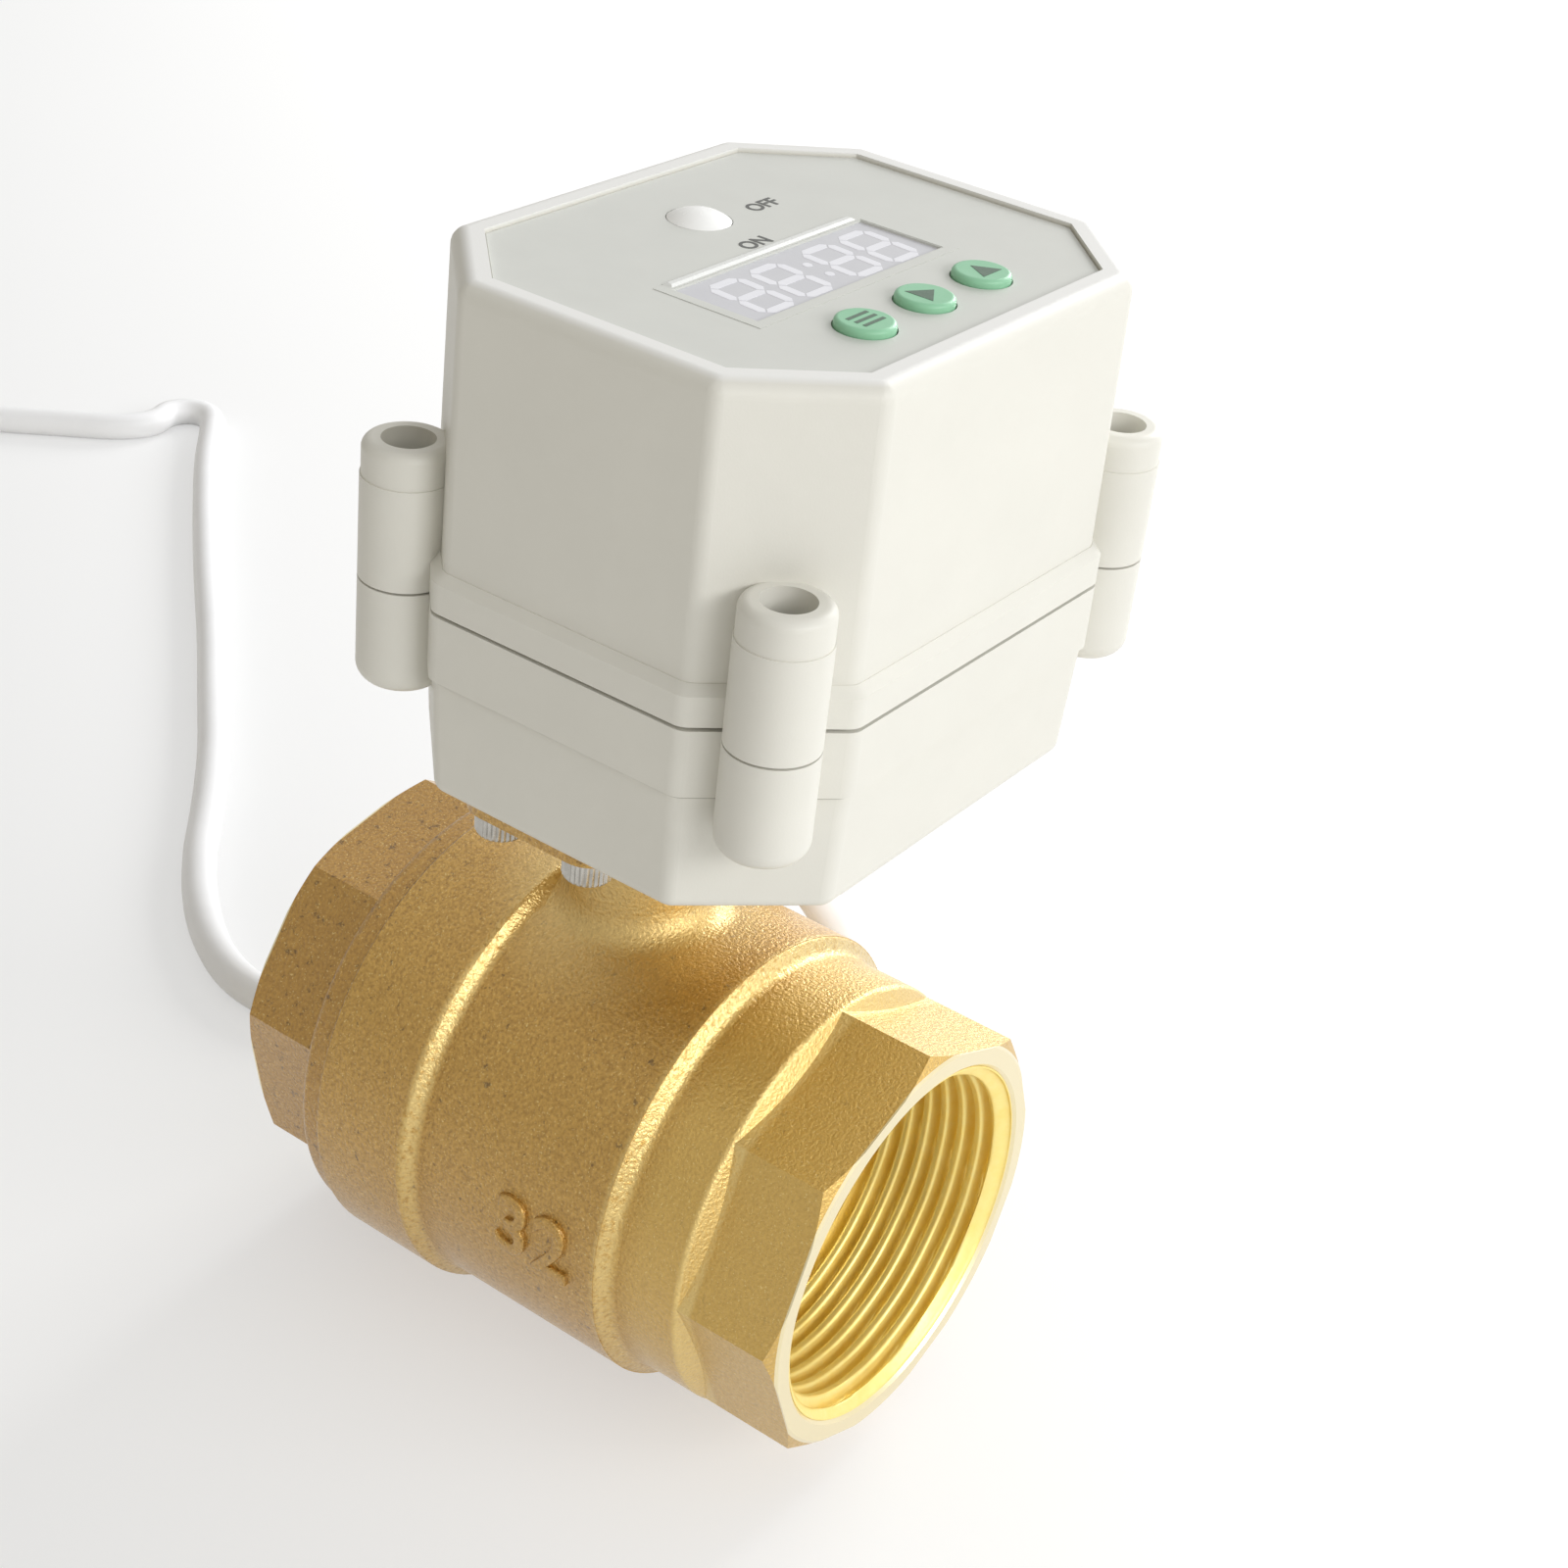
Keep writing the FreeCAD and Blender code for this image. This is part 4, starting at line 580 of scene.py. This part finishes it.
def addCable(c):
    points = [Vector((p[0], p[1], p[2] if len(p) == 3 else c["floor"])) * mm for p in c["route"]]
    curve = bpy.data.curves.new("cable", "CURVE")
    curve.dimensions = "3D"
    curve.bevel_depth = c["thick"] / 2
    curve.bevel_resolution = c["roundSteps"]
    curve.resolution_u = c["alongSteps"]
    curve.use_fill_caps = True
    spline = curve.splines.new("NURBS")
    spline.points.add(len(points) - 1)
    for point, place in zip(spline.points, points):
        point.co = (*place, 1.0)
    spline.order_u = 3
    spline.use_endpoint_u = True
    piece = bpy.data.objects.new("cable", curve)
    bpy.context.scene.collection.objects.link(piece)
    curve.materials.append(mats["cable_white"])
    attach(piece, "valve")
    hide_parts("power_cable")
    cores = addCores(c, points[-1], (points[-1] - points[-2]).normalized())
    return piece


def addCores(c, end, ahead):
    up = Vector((0, 0, 1))
    side = Vector((-ahead.y, ahead.x, 0))
    around = up.cross(ahead).normalized()
    sheathShare, tipShare = 0.5, 0.05
    cores = []
    for k, ink in enumerate(c["cores"]):
        turn = 2 * pi * k / len(c["cores"]) + pi / 2
        start = end + (side * cos(turn) + Vector((0, 0, sin(turn)))) * c["coreSpread"] - ahead * mm
        length = c["coreLength"] - c["coreStep"] * k
        sheathEnd = length - c["bare"]
        # (distance along, share of the thickness) for the sheath and then for the bare strands
        shape = [(0, sheathShare), (sheathEnd, sheathShare), (sheathEnd, c["strandShare"]),
                 (length, c["strandShare"]), (length, tipShare)]
        rings = []
        for along, share in shape:
            ring = []
            for a in turns(c["coreSides"]):
                wave = c["strandWave"] * cos(c["strands"] * a) if share < sheathShare else 0
                reach = c["coreThick"] * share * (1 + wave)
                ring.append(start + ahead * along + (around * cos(a) + up * sin(a)) * reach)
            rings.append(ring)
        bm = bmesh.new()
        skin(bm, rings)
        name = "core" + str(k + 1)
        mesh = toMesh(name, bm)
        mesh.materials.append(mats[ink])
        mesh.materials.append(mats["copper"])
        for face in mesh.polygons:
            if (face.center - start).dot(ahead) > sheathEnd - 0.01 * mm:
                face.material_index = 1
        leads = ("cable_leads",) if k == 0 else ()
        cores.append(addPiece(name, mesh, mats[ink], "valve", leads))
    return cores


addCable(cable)
print("cable laid")


# threads in the two ports

thread = {
    "major": 20.94 * mm,
    "minor": 19.48 * mm,
    "pitch": 2.309 * mm,
    "skin": 21.1 * mm,
    "around": 120,
    "perTurn": 12,
    "fade": 1.3 * mm,
    "lastDepth": 0.25,                   # share of the depth that is left at the inner end
    "crestGain": 1.3,
    "crestPower": 0.75,
    "ports": {
        # name: (mouth, inner end) along the pipe
        "frontThread": (-38.1 * mm, -20.5 * mm),
        "rearThread": (38.1 * mm, 23.5 * mm),
    },
}


def addThread(name, mouth, inner, t):
    # a wavy sleeve whose crests run round in one helix
    way = 1 if inner > mouth else -1
    deep = abs(inner - mouth)
    steps = int(deep / t["pitch"] * t["perTurn"])

    def onPipe(r, a, y):
        return (r * cos(a), y, pipeZ + r * sin(a))

    rings = []
    for s in range(steps + 1):
        along = deep * s / steps
        edge = min(1.0, along / t["fade"]) * min(1.0, (deep - along) / t["fade"] + t["lastDepth"])
        ring = []
        for i, a in enumerate(turns(t["around"])):
            phase = (along / t["pitch"] - way * i / t["around"]) % 1.0
            wave = 0.5 - 0.5 * cos(2 * pi * phase)
            crest = min(1.0, t["crestGain"] * wave) ** t["crestPower"]
            ring.append(onPipe(t["major"] - (t["major"] - t["minor"]) * crest * edge, a, mouth + way * along))
        rings.append(ring)
    rings += [[onPipe(t["skin"], a, y) for a in turns(t["around"])] for y in (inner, mouth)]
    bm = bmesh.new()
    skin(bm, rings, closed=True)
    return addPiece(name, toMesh(name, bm, 60), mats["threadBrassPaintedLight"], "valve")


for name, (mouth, inner) in thread["ports"].items():
    addThread(name, mouth, inner, thread)
print("threads cut")


# number cast on the barrel

castNumber = {
    "text": "32",
    "tall": 7.3 * mm,
    "barrel": 26.9 * mm,
    "middleY": -8.0 * mm,
    "middleTurn": 180.5,
    "proud": 0.55 * mm,
    "soft": 0.25 * mm,
    "spacing": 1.05,
}
fontPerLetter = 1.38                     # size of the font over the height of its letters


def textMesh(name, words, tall, thick, soft=0.0, spacing=1.0, bold=0.0):
    font = bpy.data.curves.new(name, "FONT")
    font.body = words
    font.align_x = "CENTER"
    font.align_y = "CENTER"
    font.size = tall * fontPerLetter
    font.space_character = spacing
    font.extrude = thick / 2
    font.offset = bold
    font.bevel_depth = soft
    font.bevel_resolution = 2
    font.resolution_u = 6
    holder = bpy.data.objects.new(name, font)
    bpy.context.scene.collection.objects.link(holder)
    bpy.context.view_layer.update()
    mesh = bpy.data.meshes.new_from_object(holder.evaluated_get(bpy.context.evaluated_depsgraph_get()))
    bpy.data.objects.remove(holder)
    return mesh


def addCastNumber(n):
    mesh = textMesh("castNumber", n["text"], n["tall"], 2 * n["proud"], n["soft"], n["spacing"])
    bm = bmesh.new()
    bm.from_mesh(mesh)
    bmesh.ops.remove_doubles(bm, verts=bm.verts, dist=0.001 * mm)
    for v in bm.verts:
        a = radians(n["middleTurn"]) - v.co.y / n["barrel"]
        r = n["barrel"] + v.co.z - n["soft"]
        v.co = (r * cos(a), n["middleY"] - v.co.x, pipeZ + r * sin(a))
    return addPiece("castNumber", toMesh("castNumber", bm), mats["cast_brass"], "valve")


addCastNumber(castNumber)


# knurled screws under the flange

flangeScrew = {
    "across": 17.3 * mm,
    "along": 5.9 * mm,
    "headLow": 68.5 * mm,
    "headHigh": 71.58 * mm,
    "headR": 2.75 * mm,
    "foot": ((0.0, 0.45), (0.12, 0.22)),     # (height over the head's foot, cut from its radius) in mm
    "crown": ((0.3, 0.1), (0.0, 0.12)),      # (depth under its top, cut from its radius) in mm
    "knurls": 30,
    "knurlDepth": 0.2 * mm,
    "knurlFrom": 0.4 * mm,
    "knurlTo": 0.5 * mm,
    "sidesPerKnurl": 4,
    "socket": 1.25 * mm,
    "socketDeep": 1.5 * mm,
    "shankR": 1.48 * mm,
    "shankTop": 79.7 * mm,
}


def addFlangeScrews(s):
    bm = bmesh.new()

    def ring(x, y, z, shape):
        return [(x + shape(a) * cos(a), y + shape(a) * sin(a), z) for a in turns(s["knurls"] * s["sidesPerKnurl"])]

    def plain(r):
        return lambda a: r

    def cut(depth):
        return plain(s["headR"] - depth * mm)

    def knurled(a):
        return s["headR"] - s["knurlDepth"] * (0.5 - 0.5 * cos(s["knurls"] * a))

    def hexagon(a):
        return s["socket"] / cos((a % (pi / 3)) - pi / 6)

    low, high = s["headLow"], s["headHigh"]
    levels = [(low + s["socketDeep"], hexagon), (low, hexagon)]
    levels += [(low + z * mm, cut(depth)) for z, depth in s["foot"]]
    levels += [(low + s["knurlFrom"], knurled), (high - s["knurlTo"], knurled)]
    levels += [(high - z * mm, cut(depth)) for z, depth in s["crown"]]
    levels += [(high, plain(s["shankR"])), (s["shankTop"], plain(s["shankR"]))]
    for sx in (-1, 1):
        for sy in (-1, 1):
            x, y = sx * s["across"], stemY + sy * s["along"]
            skin(bm, [ring(x, y, z, shape) for z, shape in levels])
    mesh = toMesh("flangeScrewSet", bm, 30)
    return addPiece("flangeScrewSet", mesh, mats["nickel_screws"], "valve", ("flange_screws",))


addFlangeScrews(flangeScrew)
print("number and flange screws are on")


# panel with its print, display and key marks

panel = {
    "top": sideOf("panel_film", 2, 1),
    "ink": 0.02 * mm,
    "inkSunk": 0.6,                      # share of the ink's thickness that lies over the film
    "bold": 0.05 * mm,
    "marks": {
        # name: (words, x, y, letter height) on the film, in mm
        "offMark": ("OFF", 8.3, 0.0, 1.8),
        "onMark": ("ON", -0.9, -6.0, 1.8),
    },
    "strip": {
        "left": -16.4 * mm, "right": 12.2 * mm, "front": -8.3 * mm, "back": -7.1 * mm,
        "sunk": 0.05 * mm, "edge": 0.04 * mm, "high": 0.22 * mm, "bevel": 0.35 * mm,
    },
    "borderIn": 0.75 * mm,               # how far the film reaches over the pane
    "borderOut": 0.375 * mm,
    "borderLevels": (0.01 * mm, 0.05 * mm),
    "sheetIn": 0.075 * mm,
    "sheetLevels": (-0.01 * mm, 0.04 * mm),
}


def addMarks(p):
    for name, (words, x, y, tall) in p["marks"].items():
        mesh = textMesh(name, words, tall * mm, 2 * p["ink"], bold=p["bold"])
        mesh.transform(Matrix.Translation((x * mm, y * mm, p["top"] + p["ink"] * p["inkSunk"])))
        addPiece(name, mesh, mats["printDark"], "valve")


def rectangle(x0, y0, x1, y1, z):
    return [(x0, y0, z), (x1, y0, z), (x1, y1, z), (x0, y1, z)]


def addStrip(p):
    # pale bevelled strip in the film, along the display's far edge
    t = p["strip"]
    rings = [rectangle(t["left"] + into, t["front"] + into, t["right"] - into, t["back"] - into, p["top"] + z)
             for z, into in ((-t["sunk"], 0.0), (t["edge"], 0.0), (t["high"], t["bevel"]))]
    bm = bmesh.new()
    skin(bm, rings)
    return addPiece("panelStrip", toMesh("panelStrip", bm, 20), mats["stripWhite"], "valve")


def addWindow(p):
    # the film reaches a little way over the pane, and a pale sheet on the pane shows the figures
    (x0, y0, z0), (x1, y1, z1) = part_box("display_window")

    def loop(into, z):
        return rectangle(x0 + into, y0 + into, x1 - into, y1 - into, z)

    low, high = (p["top"] + z for z in p["borderLevels"])
    outer, inner = -p["borderOut"], p["borderIn"]
    bm = bmesh.new()
    skin(bm, [loop(outer, low), loop(inner, low), loop(inner, high), loop(outer, high)], closed=True)
    addPiece("windowBorder", toMesh("windowBorder", bm, 20), mats["film_plastic"], "valve")
    bm = bmesh.new()
    skin(bm, [loop(p["sheetIn"], z1 + z) for z in p["sheetLevels"]])
    addPiece("windowSheet", toMesh("windowSheet", bm, 20), mats["display_black"], "valve")


addMarks(panel)
addStrip(panel)
addWindow(panel)

digits = {
    "text": "88:88",
    "left": -14.6 * mm,
    "right": 11.4 * mm,
    "low": -17.0 * mm,
    "high": -10.2 * mm,
    "bar": 1.0 * mm,
    "barGap": 0.12,                      # share of a bar's width between its nose and the corner
    "slant": 0.08,
    "over": 0.03 * mm,                   # height of the bars' foot over the pane
    "thick": 0.03 * mm,
    # shares of the step from one figure to the next
    "steps": 4.35,
    "first": 0.12,
    "wide": 0.68,
    "colonStep": 0.35,
    "colonIn": 0.06,
    "dots": (0.3, 0.7),                  # their heights over the figure's
    "dotSides": 12,
}


def barOutline(x0, y0, x1, y1, wide, gapShare):
    # a bar with pointed ends from one corner of a figure to the next
    start, end = Vector((x0, y0)), Vector((x1, y1))
    way = (end - start).normalized()
    side = Vector((-way.y, way.x)) * wide / 2
    gap = wide * gapShare
    a, b = start + way * gap, end - way * gap
    nose = way * wide / 2
    return [a, a + nose + side, b - nose + side, b, b - nose - side, a + nose - side]


def figureOutlines(d, x, wide):
    # the seven bars of an 8
    low, mid, high = d["low"], (d["low"] + d["high"]) / 2, d["high"]
    corners = {"bl": (x, low), "br": (x + wide, low), "ml": (x, mid), "mr": (x + wide, mid),
               "tl": (x, high), "tr": (x + wide, high)}
    runs = (("tl", "tr"), ("tr", "mr"), ("mr", "br"), ("br", "bl"), ("bl", "ml"), ("ml", "tl"), ("ml", "mr"))
    return [barOutline(*corners[a], *corners[b], d["bar"], d["barGap"]) for a, b in runs]


def addDigits(d):
    low = sideOf("display_window", 2, 1) + d["over"]
    tall = d["high"] - d["low"]
    step = (d["right"] - d["left"]) / d["steps"]
    outlines = []
    x = d["left"] + step * d["first"]
    for sign in d["text"]:
        if sign == ":":
            for share in d["dots"]:
                cx, cy = x + step * d["colonIn"], d["low"] + tall * share
                outlines.append([Vector((cx + 0.5 * d["bar"] * cos(a), cy + 0.5 * d["bar"] * sin(a)))
                                 for a in turns(d["dotSides"])])
            x += step * d["colonStep"]
        else:
            outlines += figureOutlines(d, x, step * d["wide"])
            x += step
    bm = bmesh.new()
    for outline in outlines:
        flat = [(v.x + (v.y - d["low"]) * d["slant"], v.y) for v in outline]
        skin(bm, [[(px, py, low + z) for px, py in flat] for z in (0, d["thick"])])
    return addPiece("digits", toMesh("digits", bm, 20), mats["paintedGlowDigits"], "valve")


addDigits(digits)

keys = {
    "names": ("set", "next", "up"),
    "tall": 3.1 * mm,
    "thick": 0.06 * mm,
    "lines": (-0.6, 0, 0.6),             # the three lines of the first key, over half the mark's height
    "lineHalf": 0.13,
}


def addKeyMarks(k):
    for name in k["names"]:
        (x0, y0, z0), (x1, y1, z1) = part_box(name + "_button")
        x, y, h = (x0 + x1) / 2, (y0 + y1) / 2, k["tall"] / 2
        thin = k["lineHalf"] * h
        shapes = {
            "set": [[(-h, b * h - thin), (h, b * h - thin), (h, b * h + thin), (-h, b * h + thin)]
                    for b in k["lines"]],
            "next": [[(-0.7 * h, -h), (0.9 * h, 0), (-0.7 * h, h)]],
            "up": [[(-h, -0.75 * h), (h, -0.75 * h), (0, 0.85 * h)]],
        }[name]
        bm = bmesh.new()
        for outline in shapes:
            skin(bm, [[(x + px, y + py, z1 - k["thick"] / 2 + lift) for px, py in outline]
                      for lift in (0, k["thick"])])
        mesh = toMesh(name + "Mark", bm, 20)
        addPiece(name + "Mark", mesh, mats["glyphDark"], name + "_key")


addKeyMarks(keys)
print("panel printed")
